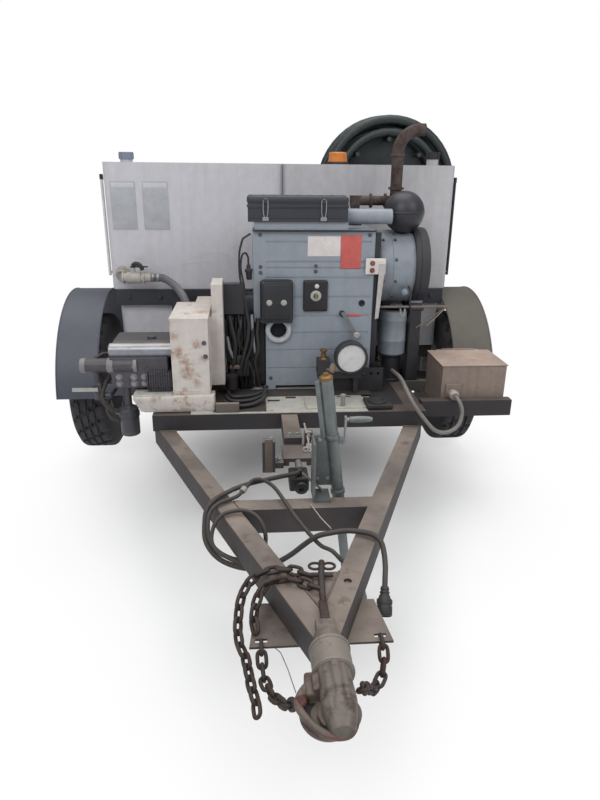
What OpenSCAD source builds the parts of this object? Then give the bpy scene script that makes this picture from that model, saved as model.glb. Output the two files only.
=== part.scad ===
// Trailer pressure washer: a single-axle trailer with twin water tanks, a diesel engine in a
// sound capsule, a belt-driven plunger pump, and a coil of suction hose behind the tanks.
// Millimetres. X is across the trailer, Y runs back from a datum just ahead of the coupler,
// and Z is up from the ground. The finished parts are shifted so that the origin lies on the
// ground under the middle of the trailer.

/* [Tongue] */
// Half the angle between the two tongue tubes
tongue_half_angle = 22.4; // [21.5:0.1:23]
// Width of a tongue tube
rail_w = 60; // [54:1:64]
// Height of a tongue tube
rail_h = 80; // [70:1:90]
// Height of the tops of the tongue tubes above the ground
rail_top = 380; // [375:1:390]
// Distance from the front datum back to the point where the tube centre lines meet
apex_y = 302; // [296:1:310]
// Distance from the front datum back to the tongue crossmember
tongue_cross_y = 840; // [820:1:860]
// Depth of the tongue crossmember, front to back
tongue_cross_w = 60; // [50:1:65]
// Diameter of the sight hole in the right tongue tube
rail_hole_d = 20; // [12:1:26]
// Thickness of the chain plate under the nose
chain_plate_t = 6; // [5:0.5:10]
// Half the width of the chain plate at its front edge
chain_plate_half = 168; // [155:1:180]

/* [Coupler] */
// Distance from the front datum back to the ball centre
ball_y = 85; // [80:1:90]
// Height of the ball centre above the ground
ball_z = 390; // [386:1:396]
// Diameter of the tow ball that the coupler takes
ball_d = 58.7; // [50:0.1:60]
// Wall of the ball socket round the ball
socket_wall = 12; // [10:0.5:14]
// Diameter of the coupler neck
neck_d = 60; // [52:1:64]
// Outer diameter of the locking collar
collar_d = 84; // [78:1:88]
// Length of the locking collar
collar_len = 75; // [65:1:80]
// Distance from the ball centre back to the collar's front
collar_set = 87; // [84:1:92]
// Travel of the locking collar along its neck
collar_travel = 16; // [10:1:18]
// Diameter of the jaw's hinge pin
jaw_pin_d = 6; // [5:0.5:8]

/* [Safety chains] */
// Wire diameter of a chain link
link_wire = 8; // [6:0.5:9]
// Length between the centres of neighbouring links
link_pitch = 30; // [28:0.5:33]
// Inside width of a link
link_in_w = 13; // [12:0.5:16]

/* [Jack] */
// Outer diameter of the jack's main tube
jack_tube_d = 38; // [34:1:42]
// Outer diameter of the jack's sliding leg
jack_leg_d = 30; // [24:1:31]
// Length of the jack's main tube
jack_tube_len = 400; // [370:1:430]
// Height of the lower end of the main tube along the jack
jack_tube_low = 355; // [340:1:365]
// Lean of the jack to the left, in degrees
jack_lean = 7; // [5:0.5:8]
// Distance of the jack across from the centre line, at the ground
jack_x = 160; // [154:1:166]
// Distance from the front datum back to the jack
jack_y = 950; // [940:1:960]
// Width of the jack's square foot
jack_foot_w = 110; // [90:1:130]
// Reach of the crank arm
crank_reach = 78; // [60:1:85]

/* [Frame] */
// Distance from the front datum back to the front crossmember
cross_y = 1450; // [1440:1:1460]
// Half the width of the main frame
frame_half = 530; // [520:1:540]
// Width of a frame tube
frame_w = 75; // [65:1:80]
// Height of a frame tube
frame_h = 65; // [60:1:70]
// Thickness of the deck plate
deck_t = 4; // [3:0.5:6]

/* [Wheels and axle] */
// Diameter of a tyre
tyre_d = 660; // [640:1:670]
// Width of a tyre
tyre_w = 172; // [160:1:174]
// Distance between the middles of the two tyres
track = 1744; // [1742:1:1750]
// Shift of the axle to the left of the centre line
axle_shift = 25; // [20:1:26]
// Distance from the front datum back to the wheels
axle_y = 2250; // [2240:1:2260]
// Diameter of the wheel rim under the bead
rim_d = 356; // [330:1:382]
// Width of the wheel rim
rim_w = 150; // [130:1:160]
// Diameter of the wheel spindle
spindle_d = 40; // [32:1:44]
// Side of the square axle beam
beam_w = 66; // [60:1:70]
// Diameter of the circle of wheel studs
stud_pcd = 114.3; // [108:0.1:121]
// Number of wheel studs
stud_count = 5; // [4:1:6]

/* [Fenders] */
// Outer radius of a fender
fender_r = 450; // [440:1:454]
// Width of a fender
fender_w = 176; // [170:1:178]
// Thickness of the fender sheet
fender_t = 3; // [2:0.5:4]
// Width of the folded lip along each end of a fender
fender_lip = 16; // [10:1:20]

/* [Tanks] */
// Distance from the front datum back to the tank fronts
tank_y = 2120; // [2116:1:2130]
// Half the width of the pair of tanks
tank_half = 775; // [765:1:778]
// Length of a tank, front to back
tank_len = 900; // [850:1:910]
// Height of the tank tops above the ground
tank_top = 1348; // [1300:1:1380]
// Height of the shoulder where each tank steps in
tank_shoulder = 805; // [800:1:815]
// Half the width of the lower part of the tanks
tank_low_half = 752; // [740:1:754]
// Height of the undersides of the tanks above the ground
tank_bottom = 520; // [510:1:530]
// Radius of the tanks' upright and lower edges
tank_edge_r = 28; // [15:1:40]
// Height of the black support band round the tanks
band_h = 72; // [60:1:76]
// Depth of the front and rear bars of the band
band_t = 34; // [28:1:36]
// Depth of the side bars of the band
band_side_t = 6; // [4:0.5:6]
// Diameter of a filler cap
cap_d = 62; // [56:1:68]
// Height of a filler cap
cap_h = 30; // [24:1:36]
// Diameter of a sight tube
sight_d = 12; // [8:1:14]

/* [Hose coil] */
// Outer diameter of the suction hose in the coil
hose_d = 52; // [44:1:53]
// Radius at which the coil starts, to the middle of the hose
coil_r = 400; // [385:1:405]
// Step inwards from one turn to the next
coil_step = 66; // [60:1:68]
// Number of turns in the coil, in two layers
coil_turns = 4; // [2:2:4]
// Distance of the coil's middle across from the centre line
coil_x = 659; // [650:1:668]
// Height of the coil's middle above the ground
coil_z = 1230; // [1220:1:1240]
// Air between the two layers of the coil
coil_layer_gap = 4; // [2:0.5:6]
// Distance from the rack's back plate to the rear crossmember
rack_reach = 74; // [70:1:80]
// Diameter of the hose rack's back plate
rack_plate_d = 640; // [600:1:660]

/* [Engine] */
// Distance from the front datum back to the capsule's front panel
capsule_y = 1720; // [1716:1:1726]
// Depth of the capsule, front to back
capsule_d = 350; // [345:1:360]
// Left edge of the capsule across the trailer
capsule_left = -137; // [-140:1:-132]
// Right edge of the capsule across the trailer
capsule_right = 347; // [345:1:349]
// Height of the capsule's lower edge above the ground
capsule_low = 466; // [460:1:472]
// Height of the capsule's top above the ground
capsule_top = 1105; // [1100:1:1110]
// Thickness of the capsule's walls
capsule_t = 6; // [4:0.5:8]
// Depth of the pressed grooves in the front panel
groove_d = 3; // [1:0.5:3.5]
// Diameter of the engine shaft
shaft_d = 40; // [34:1:44]
// Height of the engine shaft above the ground
shaft_z = 615; // [610:1:620]
// Distance from the front datum back to the engine shaft
shaft_y = 1900; // [1896:1:1904]
// Outer radius of the fan drum
drum_r = 149; // [140:1:152]
// Height of the middle of the fan drum above the ground
drum_z = 941; // [936:1:946]
// Number of fan blades
blade_count = 9; // [6:1:12]
// Diameter of the ball-shaped pre-cleaner
precleaner_d = 164; // [150:1:168]
// Radius of the exhaust pipe's bend
exhaust_bend = 88; // [80:1:96]
// Outer diameter of the exhaust pipe
exhaust_d = 49; // [42:1:52]

/* [Belt drive and pump] */
// Outer diameter of the pump's pulley
pump_pulley_d = 250; // [220:1:256]
// Outer diameter of the engine's pulley
engine_pulley_d = 120; // [100:1:126]
// Width of both belt pulleys
pulley_w = 56; // [44:1:58]
// Diameter of the pump shaft
pump_shaft_d = 35; // [28:1:40]
// Distance from the front datum back to the pump shaft
pump_shaft_y = 1640; // [1636:1:1646]
// Number of drive belts
belt_count = 3; // [1:1:3]
// Thickness of the belt guard's sheet
guard_t = 3; // [2:0.5:4]
// Height of the belt guard's front box
guard_top = 808; // [800:1:815]
// Height of the belt guard's low rear part
guard_rear_top = 790; // [780:1:796]
// Height of the belt guard's tall narrow part
guard_tall_top = 916; // [900:1:940]
// Left face of the belt guard's front box
guard_left = -450; // [-454:1:-446]
// Right face of the belt guard's front box
guard_split = -309; // [-312:1:-306]
// Right face of the belt guard's rear part
guard_right = -257; // [-262:1:-256]
// Height of the pump's base rails
base_h = 64; // [56:1:66]

/* [Gauge] */
// Diameter of the pressure gauge
gauge_d = 132; // [110:1:140]
// Depth of the pressure gauge
gauge_depth = 46; // [36:1:50]

/* [Battery box] */
// Width of the battery box
battery_w = 265; // [250:1:275]
// Depth of the battery box, front to back
battery_d = 230; // [210:1:232]
// Height of the battery box
battery_h = 190; // [176:1:200]
// Thickness of the battery box's sheet
battery_t = 3; // [2:0.5:4]

/* [Cables] */
// Diameter of the trailer wiring cable
wiring_d = 15; // [10:0.5:15.5]
// Diameter of the battery conduit
conduit_d = 20; // [14:0.5:21]
// Outer diameter of the suction hose from tank to pump
suction_d = 34; // [30:1:40]

/* [Hidden] */
$fn = 48;

// Derived places
running_fit = 0.05;
gap = 0.3;
deck_z = rail_top + frame_h;
deck_top = deck_z + deck_t;
guard_low = deck_top + base_h;
coil_clear = 14;
front_layer_y = tank_y + tank_len + coil_clear + hose_d / 2;
back_layer_y = front_layer_y + hose_d + coil_layer_gap;
rack_y = back_layer_y + hose_d / 2 + 4;
rack_t = 5;
rear_member_y = rack_y + rack_t + rack_reach;
frame_back = rear_member_y + frame_w;
member_w = 60;
gusset_t = 8;
gusset_back = 525;
throttle_x = 378;
throttle_z = 960;
hood_w = 56;
lamp_depth = 25;
socket_r = ball_d / 2 + socket_wall;
fender_out = track / 2 + fender_w / 2;
fender_far = fender_out + axle_shift;
fender_in = track / 2 - fender_w / 2;
coil_far = coil_x + coil_r - coil_step / 4 + hose_d / 2;
mid_x = (coil_far - fender_far) / 2;
mid_y = (ball_y - socket_r + frame_back + lamp_depth) / 2;
axle_z = tyre_d / 2;
nose_y = 280;
rail_end_y = cross_y + frame_w;
tongue_cross_back = tongue_cross_y + tongue_cross_w;
pin_y = ball_y - socket_r + knuckle_r();
panel_y = capsule_y;
belt_right = guard_split - 11;
belt_left = belt_right - pulley_w + 6;
belt_t = 8;
crank_z = 550;
valve_x = -722;
valve_y = tank_y - 70;
valve_z = tank_shoulder + 70;
outlet_x = -745;
outlet_z = 528;
battery_x = 620;
battery_y = 1570;
battery_low = 396;
battery_back = battery_y + battery_d;
air_seam = 1200;
air_back = 1830;
hinge_r = 5;
hinge_pin_r = 2.5;
exhaust_y = 1965;
bend_x = 560;
bend_z = 1396;
groove_heights = [1059, 982, 958, 919, 842, 764, 693, 620, 542];

// Routes of the free cables, from the places where they leave the trailer
wiring_route = [
    [0, 1054, 400], [0, 1040, 400], [-20, 1024, 401], [-62, 1008, 402], [-110, 988, 402],
    [-160, 970, 400], [-205, 948, 396], [-240, 922, 392], [-268, 890, 391], [-291, 859, 376],
    [-297, 825, 340], [-294, 795, 313], [-277, 765, 294], [-250, 738, 282], [-214, 716, 276],
    [-172, 700, 275], [-130, 693, 281], [-90, 693, 296], [-50, 694, 320], [-15, 691, 352],
    [20, 686, 381], [58, 685, 391], [100, 690, 393], [142, 682, 393], [172, 663, 394],
    [190, 645, 384], [195, 622, 364], [194, 594, 342], [189, 568, 324], [186, 552, 308]
];
branch_route = [
    [94, 616.5, 339], [80, 628, 342], [58, 648, 358], [30, 678, 357], [0, 716, 374],
    [-26, 758, 390], [-46, 815, 394], [-66, 880, 397], [-84, 928, 402], [-105, 953, 410],
    [-128, 962, 417], [-150, 960, 417], [-168, 946, 407], [-184, 925, 398], [-202, 904, 392],
    [-230, 886, 390], [-258, 862, 391], [-281, 838, 376], [-286, 808, 347], [-281, 782, 322],
    [-262, 758, 304], [-232, 742, 290], [-198, 730, 284], [-160, 724, 285], [-130, 730, 301],
    [-120, 742, 330], [-122, 758, 361], [-136, 780, 384], [-158, 802, 393], [-184, 816, 394],
    [-212, 815, 393], [-240, 804, 390], [-260, 790, 376], [-272, 774, 350], [-272, 756, 326],
    [-256, 740, 307], [-226, 724, 296], [-196, 706, 291], [-174, 694, 286], [-162, 684, 286],
    [-158, 680, 296]
];
conduit_route = [
    [665, 1516, 475], [665, 1500, 475], [674, 1486, 461], [684, 1482, 430], [681, 1474, 400],
    [668, 1466, 372], [640, 1456, 354], [600, 1444, 352], [560, 1434, 371], [516, 1430, 420],
    [478, 1430, 471], [456, 1460, 510], [453, 1540, 530], [458, 1640, 526], [465, 1740, 508],
    [467, 1790, 500], [467, 1807.5, 499]
];
suction_route = [
    [-588, 2050, 868], [-562, 2050, 868], [-530, 2038, 866], [-482, 1970, 850], [-436, 1892, 815],
    [-414, 1855, 760], [-414, 1868, 690], [-428, 1900, 630], [-465, 1895, 595], [-480, 1862, 590],
    [-480, 1830, 590]
];

function knuckle_r() = jaw_pin_d / 2 + 3.35;
function spread(y) = (y - apex_y) * tan(tongue_half_angle);
function rail_side() = rail_w / 2 / cos(tongue_half_angle);
function rail_out(y) = spread(y) + rail_side();
function rail_in(y) = spread(y) - rail_side();
function unit(v) = v / norm(v);
function last(p) = len(p) - 1;
function heading(p, i) = unit(p[min(i + 1, last(p))] - p[max(i - 1, 0)]);
function flatten(v, t) = unit(v - (v * t) * t);
function carry(p, first) = [
    for (i = 0, u = flatten(first, heading(p, 0)); i < len(p);
         i = i + 1, u = flatten(u, heading(p, min(i, last(p))))) u
];
function blend4(a, b, c, d, t) = 0.5 * ((2 * b) + (c - a) * t
    + (2 * a - 5 * b + 4 * c - d) * t * t + (3 * b - a - 3 * c + d) * t * t * t);
function smooth(p, n) = concat([
    for (i = [0 : last(p) - 1]) for (k = [0 : n - 1])
        blend4(p[max(i - 1, 0)], p[i], p[i + 1], p[min(i + 2, last(p))], k / n)
], [p[last(p)]]);
// A route that leaves and arrives straight, with its middle smoothed
function laid(p, n) = concat([p[0]], smooth([for (i = [1 : last(p) - 1]) p[i]], n), [p[last(p)]]);
function runs(p) = [
    for (i = 0, s = 0; i < len(p);
         i = i + 1, s = s + (i < len(p) ? norm(p[i] - p[i - 1]) : 0)) s
];
function along(p, s, at) = [
    for (axis = [0 : 2]) lookup(at, [for (i = [0 : last(p)]) [s[i], p[i][axis]]])
];
function rounded(x0, x1, y0, y1, r) = [
    for (c = [[x1 - r, y1 - r, 0], [x0 + r, y1 - r, 90], [x0 + r, y0 + r, 180],
              [x1 - r, y0 + r, 270]])
        for (a = [0 : 15 : 90]) [c[0] + r * cos(c[2] + a), c[1] + r * sin(c[2] + a)]
];

// Moves the trailer so that the origin lies on the ground under its middle
module fr() translate([-mid_x, -mid_y, 0]) children();
module box(x0, x1, y0, y1, z0, z1) translate([x0, y0, z0]) cube([x1 - x0, y1 - y0, z1 - z0]);
module xcyl(p, r, l) translate(p) rotate([0, 90, 0]) cylinder(r = r, h = l);
module ycyl(p, r, l) translate(p) rotate([-90, 0, 0]) cylinder(r = r, h = l);
module zcyl(p, r, l) translate(p) cylinder(r = r, h = l);
// Outline in Y and Z, drawn across from x0 to x1
module slab(points, x0, x1) translate([x0, 0, 0]) rotate([90, 0, 90])
    linear_extrude(x1 - x0) polygon(points);
// Outline in X and Z, drawn back from y0 to y1
module facing(points, y0, y1) translate([0, y1, 0]) rotate([90, 0, 0])
    linear_extrude(y1 - y0) polygon(points);
module sided(s) if (s > 0) children(); else mirror([1, 0, 0]) children();
module running(s) translate([-axle_shift, 0, 0]) sided(s) children();
// Knuckles and pin of a small hinge on the back of a box, with its leaves below the seam
module hinge_base(x0, x1, y, z) {
    for (x = [x0, x1 - 20]) {
        xcyl([x, y, z], hinge_r, 20);
        box(x, x + 20, y - hinge_r - gap - 1, y, z - 14, z - 2);
    }
    xcyl([x0, y, z], hinge_pin_r, x1 - x0);
}
// Knuckle of the hinge's lid, between the two of its base
module hinge_lid(x0, x1, y, z) difference() {
    union() {
        xcyl([x0 + 20 + gap, y, z], hinge_r, x1 - x0 - 40 - 2 * gap);
        box(x0 + 20 + gap, x1 - 20 - gap, y - hinge_r - gap - 1, y, z + 1.5, z + 9);
    }
    xcyl([x0, y, z], hinge_pin_r + running_fit, x1 - x0);
}

// Swept tube with flat ends, and with its first corner towards the given direction
module tube(p, r, sides, first = [0.1, 0.2, 1]) {
    turned = carry(p, first);
    n = len(p);
    points = [
        for (i = [0 : n - 1]) let (t = heading(p, i), u = turned[i], v = cross(t, u))
            for (k = [0 : sides - 1])
                p[i] + r * (cos(360 * k / sides) * u + sin(360 * k / sides) * v)
    ];
    walls = [
        for (i = [0 : n - 2]) for (k = [0 : sides - 1])
            let (a = i * sides + k, b = i * sides + (k + 1) % sides)
                each [[a, a + sides, b + sides], [a, b + sides, b]]
    ];
    front = [for (k = [1 : sides - 2]) [0, k, k + 1]];
    back = [for (k = [1 : sides - 2]) [(n - 1) * sides, (n - 1) * sides + k + 1, (n - 1) * sides + k]];
    polyhedron(points, concat(walls, front, back), convexity = 8);
}

// One chain link: a closed loop of round wire, long along a, wide along b
module link(centre, a, b) {
    half_w = (link_in_w + link_wire) / 2;
    straight = (link_pitch + link_wire) / 2 - half_w;
    c = cross(a, b);
    rings = 12;
    sides = 6;
    points = [
        for (i = [0 : rings - 1])
            let (g = 360 * i / rings + 15, out = cos(g) * a + sin(g) * b,
                 mid = centre + half_w * out + (cos(g) > 0 ? straight : -straight) * a)
                for (k = [0 : sides - 1])
                    mid + link_wire / 2 * (cos(360 * k / sides) * out + sin(360 * k / sides) * c)
    ];
    faces = [
        for (i = [0 : rings - 1]) for (k = [0 : sides - 1])
            let (j = (i + 1) % rings, m = (k + 1) % sides)
                each [[i * sides + k, i * sides + m, j * sides + m],
                      [i * sides + k, j * sides + m, j * sides + k]]
    ];
    polyhedron(points, faces, convexity = 4);
}
// Links along a route, each a quarter turn from the last; roll turns them all about the route
module chain(route, roll) {
    p = smooth(route, 8);
    s = runs(p);
    step = link_pitch - 1.2;
    count = floor((s[last(p)] - link_pitch) / step);
    for (i = [0 : count]) {
        at = link_pitch / 2 + i * step;
        dir = unit(along(p, s, at + 10) - along(p, s, at - 10));
        side = flatten([1, 0.15, 0.1], dir);
        turn = roll + 90 * (i % 2);
        link(along(p, s, at), dir, cos(turn) * side + sin(turn) * cross(dir, side));
    }
}
// Link that goes round the plate's front edge and through its slot
module shackle(s) link([s * 140, 364, rail_top - rail_h - chain_plate_t / 2], [0, 1, 0], [0, 0, 1]);

// ---- Tongue ----
module tongue_rail(s) sided(s) difference() {
    translate([0, 0, rail_top - rail_h]) linear_extrude(rail_h) polygon([
        [0, nose_y], [rail_out(nose_y), nose_y], [rail_out(rail_end_y), rail_end_y],
        [rail_in(rail_end_y), rail_end_y],
        [0, apex_y + rail_side() / tan(tongue_half_angle)]
    ]);
    if (s > 0) zcyl([spread(485), 485, rail_top - 8], rail_hole_d / 2, 10);
}
module tongue_rail_left() color("#6b665f") fr() tongue_rail(-1);
module tongue_rail_right() color("#6b665f") fr() tongue_rail(1);

module tongue_members() color("#726c66") fr() {
    translate([0, 0, rail_top - rail_h]) linear_extrude(rail_h) polygon([
        [-rail_in(tongue_cross_y), tongue_cross_y], [rail_in(tongue_cross_y), tongue_cross_y],
        [rail_in(tongue_cross_back), tongue_cross_back],
        [-rail_in(tongue_cross_back), tongue_cross_back]
    ]);
    translate([0, 0, rail_top - gusset_t]) linear_extrude(gusset_t) polygon([
        [-rail_in(gusset_back), gusset_back], [rail_in(gusset_back), gusset_back],
        [0, apex_y + rail_side() / tan(tongue_half_angle)]
    ]);
    union() {
        box(-40, 22, 1225, cross_y, rail_top, rail_top + 60);
        difference() {
            box(-50, 52, 1110, 1225, 388, 415);
            box(-30, 30, 1108, 1200, 384, 402);
        }
        box(-78, -50, 1085, 1125, 392, 412);
        box(-120, -78, 1080, 1120, rail_top, 490);
        difference() {
            box(30, 58, 1195, 1225, 414, 470);
            box(38, 50, 1190, 1230, 430, 475);
        }
        ycyl([0, 1054, 400], 12, 60);
    }
    difference() {
        translate([0, 0, rail_top - rail_h - chain_plate_t]) linear_extrude(chain_plate_t)
            polygon([[-chain_plate_half, 362], [chain_plate_half, 362], [chain_plate_half - 18, 515],
                     [-chain_plate_half + 18, 515]]);
        for (s = [-1, 1])
            box(s * 140 - 14, s * 140 + 14, 376, 388, rail_top - rail_h - 20, rail_top - rail_h + 5);
    }
}

// ---- Coupler ----
module coupler_body() color("#6a5c59") fr() {
    difference() {
        union() {
            intersection() {
                translate([0, ball_y, ball_z]) sphere(r = socket_r);
                box(-60, 60, 0, 200, ball_z + gap, ball_z + 60);
            }
            difference() {
                ycyl([0, ball_y + 25, ball_z], neck_d / 2, nose_y - ball_y - 25);
                box(-60, 60, 0, ball_y + collar_set - gap, ball_z - 60, ball_z + gap);
            }
            box(-22, 22, nose_y, nose_y + 50, rail_top, rail_top + 20);
            xcyl([-8, pin_y, ball_z], knuckle_r(), 16);
        }
        translate([0, ball_y, ball_z]) sphere(r = ball_d / 2 + 0.5);
        for (x = [-16.6, 8]) xcyl([x, pin_y, ball_z], knuckle_r() + 0.6, 8.6);
        xcyl([-20, pin_y, ball_z], jaw_pin_d / 2 + running_fit, 40);
    }
}
module coupler_jaw() color("#7c615f") fr() {
    difference() {
        union() {
            intersection() {
                translate([0, ball_y, ball_z]) sphere(r = socket_r);
                box(-60, 60, pin_y + 8, 200, ball_z - 60, ball_z - gap);
            }
            slab([[62, 372], [70, 350], [100, 344], [150, 362], [164, 376], [164, ball_z - gap],
                  [62, ball_z - gap]], -15, 15);
        }
        translate([0, ball_y, ball_z]) sphere(r = ball_d / 2 + 0.5);
    }
    for (x = [-16, 8.3]) difference() {
        union() {
            xcyl([x, pin_y, ball_z], knuckle_r(), 7.7);
            box(x, x + 7.7, pin_y, pin_y + 9, ball_z - knuckle_r(), ball_z - gap);
        }
        translate([0, ball_y, ball_z]) sphere(r = ball_d / 2 + 0.5);
    }
    xcyl([-16, pin_y, ball_z], jaw_pin_d / 2, 32);
    difference() {
        box(-46, -14, 122, 164, 372, ball_z - gap);
        translate([0, ball_y, ball_z]) sphere(r = ball_d / 2 + 0.5);
    }
    box(-46, -neck_d / 2 - 1, 122, 164, ball_z - gap - 2, ball_z + 20);
}
module coupler_collar() color("#89837b") fr() translate([0, ball_y + collar_set, ball_z])
    rotate([-90, 0, 0]) difference() {
        cylinder(r = collar_d / 2, h = collar_len);
        translate([0, 0, -1]) cylinder(r = neck_d / 2 + running_fit, h = collar_len + 2);
    }

// ---- Safety chains ----
module chain_left() color("#3f3430") fr() {
    lying = rail_top + 12.3;
    shackle(-1);
    chain([
        [-14, 496, lying], [-48, 515, lying], [-84, 526, lying], [-116, 521, lying],
        [-148, 506, lying - 3], [-173, 488, 373], [-188, 464, 348], [-193, 438, 322],
        [-194, 412, 300], [-188, 384, 284], [-177, 358, 274], [-171, 330, 267], [-166, 300, 259],
        [-158, 268, 251], [-153, 240, 243], [-152, 214, 236]
    ], 45);
    chain([
        [6, 444, lying], [-26, 462, lying], [-60, 482, lying], [-98, 481, lying + 1],
        [-124, 468, 392], [-144, 449, 372], [-153, 434, 350], [-156, 420, 330], [-152, 402, 315],
        [-146, 396, 313.5]
    ], 45);
    chain([
        [-140, 350.5, 294.2], [-139, 334, 277.7], [-136, 305, 266], [-130, 280, 265],
        [-114, 240, 272], [-93, 196, 297], [-78, 160, 336]
    ], 0);
}
module chain_right() color("#3f3430") fr() {
    shackle(1);
    chain([
        [140, 350.5, 294.2], [140, 334, 277.7], [130, 305, 252], [106, 270, 252], [84, 235, 290],
        [66, 195, 330], [58, 165, 354]
    ], 0);
}

// ---- Jack ----
module leaning() translate([jack_x, jack_y, 0]) rotate([0, -jack_lean, 0]) children();
function jack_at(z) = jack_x - z * tan(jack_lean);
module jack_tube() color("#7d8182") fr() {
    difference() {
        union() {
            leaning() translate([0, 0, jack_tube_low]) cylinder(d = jack_tube_d, h = jack_tube_len);
            box(jack_at(crank_z), jack_at(crank_z) + 32, jack_y - 9, jack_y + 9, crank_z - 9, crank_z + 9);
            leaning() translate([-jack_tube_d / 2 - 7, 0, 570]) cylinder(r = 9, h = 180);
            box(28, 34, 870, jack_y, rail_top, 570);
            box(28, 100, jack_y - 4, jack_y + 2, 400, 570);
            box(28, 82, 870, jack_y - 4, rail_top, rail_top + 8);
        }
        leaning() translate([0, 0, jack_tube_low - 1])
            cylinder(d = jack_leg_d + 2 * running_fit, h = jack_tube_len - 5);
        xcyl([jack_at(crank_z) + 20, jack_y, crank_z], 6 + running_fit, 20);
    }
}
module jack_leg() color("#8b8f90") fr() {
    leaning() translate([0, 0, 12]) cylinder(d = jack_leg_d, h = 548);
    box(jack_x - jack_foot_w / 2, jack_x + jack_foot_w / 2, jack_y - jack_foot_w / 2,
        jack_y + jack_foot_w / 2, 0, 8);
    difference() {
        zcyl([jack_x - 2, jack_y, 8], 24, 22);
        leaning() translate([0, 0, 11]) cylinder(d = jack_leg_d - 0.2, h = 60);
    }
}
module jack_crank() color("#55585a") fr() {
    x = jack_at(crank_z) + 21;
    xcyl([x, jack_y, crank_z], 6, 20);
    box(x + 14, x + 20, jack_y - 8, jack_y + 8, crank_z - 8, crank_z + crank_reach);
    xcyl([x + 19, jack_y, crank_z + crank_reach - 10], 6, 70);
}

// ---- Frame ----
module frame_rail(s) sided(s)
    box(frame_half - frame_w, frame_half, cross_y + frame_w, frame_back, rail_top, deck_z);
module frame_rail_left() color("#33333a") fr() frame_rail(-1);
module frame_rail_right() color("#33333a") fr() frame_rail(1);
module frame_crossmembers() color("#33333a") fr() {
    box(-frame_half, frame_half, cross_y, cross_y + frame_w, rail_top, deck_z);
    for (m = [[tank_y - 80, member_w], [tank_y + tank_len / 2 + 120, member_w], [rear_member_y, frame_w]])
        box(-frame_half + frame_w, frame_half - frame_w, m[0], m[0] + m[1], rail_top, deck_z);
    for (y = [tank_y + 70, tank_y + tank_len / 2 - 10, tank_y + tank_len - 100])
        box(-tank_low_half, tank_low_half, y, y + 50, deck_z, tank_bottom);
    shelf_y = cross_y + frame_w + 0.5;
    box(frame_half, battery_x + battery_w + 20, shelf_y, battery_y - 5, battery_low - 8, 455);
    box(frame_half, battery_x + battery_w + 15, battery_y - 6, battery_back, battery_low - 6, battery_low);
}
module deck_plate() color("#a9a39c") fr() {
    box(-385, 300, cross_y, tank_y - 30, deck_z, deck_top);
    for (y = [1475, 1800]) difference() {
        union() {
            box(-600, guard_split + 15, y, y + 60, deck_top, guard_low);
            box(-frame_half, -frame_half + frame_w, y + (y < 1500 ? 50 : 0), y + 60, deck_z, deck_top);
        }
        facing([[-601, guard_low + 1], [-601, deck_top - 1], [-560, deck_top - 1]], y - 1, y + 61);
    }
    box(-600, guard_left - 2, 1475, 1860, guard_low, guard_low + 5);
}

// ---- Running gear ----
module axle() color("#2d2c31") fr() {
    beam_y = axle_y - 110;
    box(-640 - axle_shift, 640 - axle_shift, beam_y - beam_w / 2, beam_y + beam_w / 2,
        rail_top - beam_w, rail_top);
    arm = 670;
    for (s = [-1, 1]) running(s) {
        slab([[beam_y - 30, 372], [beam_y - 30, 322], [beam_y + 85, 300], [beam_y + 138, 305],
              [beam_y + 138, 352], [beam_y + 30, 376]],
             640 - axle_shift, arm);
        xcyl([arm, axle_y, axle_z], spindle_d / 2, track / 2 + 15 - arm);
    }
}
module about_axle(x) translate([x, axle_y, axle_z]) rotate([0, 90, 0]) children();
module wheel(s) running(s) {
    r = rim_d / 2 - 0.1;
    about_axle(track / 2 - rim_w / 2) rotate_extrude() polygon([
        [r - 8, 0], [r + 12, 0], [r + 12, 4], [r, 6], [r, rim_w - 6], [r + 12, rim_w - 4],
        [r + 12, rim_w], [r - 8, rim_w]
    ]);
    difference() {
        union() {
            about_axle(track / 2 + 4) cylinder(r = r - 4, h = 8);
            about_axle(track / 2 - 75) cylinder(r = 44, h = 90);
            about_axle(track / 2 + 14) cylinder(r = 32, h = 26);
        }
        about_axle(track / 2 - 76) cylinder(r = spindle_d / 2 + running_fit, h = 93);
        for (i = [0 : 7]) about_axle(track / 2) rotate(45 * i) translate([128, 0, 0])
            cylinder(r = 15, h = 20);
    }
    for (i = [0 : stud_count - 1]) about_axle(track / 2 + 12) rotate(360 * i / stud_count)
        translate([stud_pcd / 2, 0, 0]) cylinder(r = 10, h = 16, $fn = 6);
}
module wheel_left() color("#8d8f92") fr() wheel(-1);
module wheel_right() color("#8d8f92") fr() wheel(1);
module tyre(s) running(s) about_axle(track / 2 - tyre_w / 2) rotate_extrude() {
    o = tyre_d / 2;
    b = rim_d / 2;
    side = (tyre_w - rim_w) / 2 + 6;
    difference() {
        polygon([
            [b, side], [b + 14, side - 4], [b + 50, 2], [o - 60, 0], [o - 22, 8], [o - 4, 24], [o, 42],
            [o, tyre_w - 42], [o - 4, tyre_w - 24], [o - 22, tyre_w - 8], [o - 60, tyre_w],
            [b + 50, tyre_w - 2], [b + 14, tyre_w - side + 4], [b, tyre_w - side]
        ]);
        translate([b - 1, 0]) square([13.2, side + 8]);
        translate([b - 1, tyre_w - side - 8]) square([13.2, side + 8]);
        for (i = [-1, 0, 1]) translate([o - 8, tyre_w / 2 + 32 * i - 4]) square([10, 8]);
    }
}
module tyre_left() color("#2d2c31") fr() tyre(-1);
module tyre_right() color("#2d2c31") fr() tyre(1);
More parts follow.
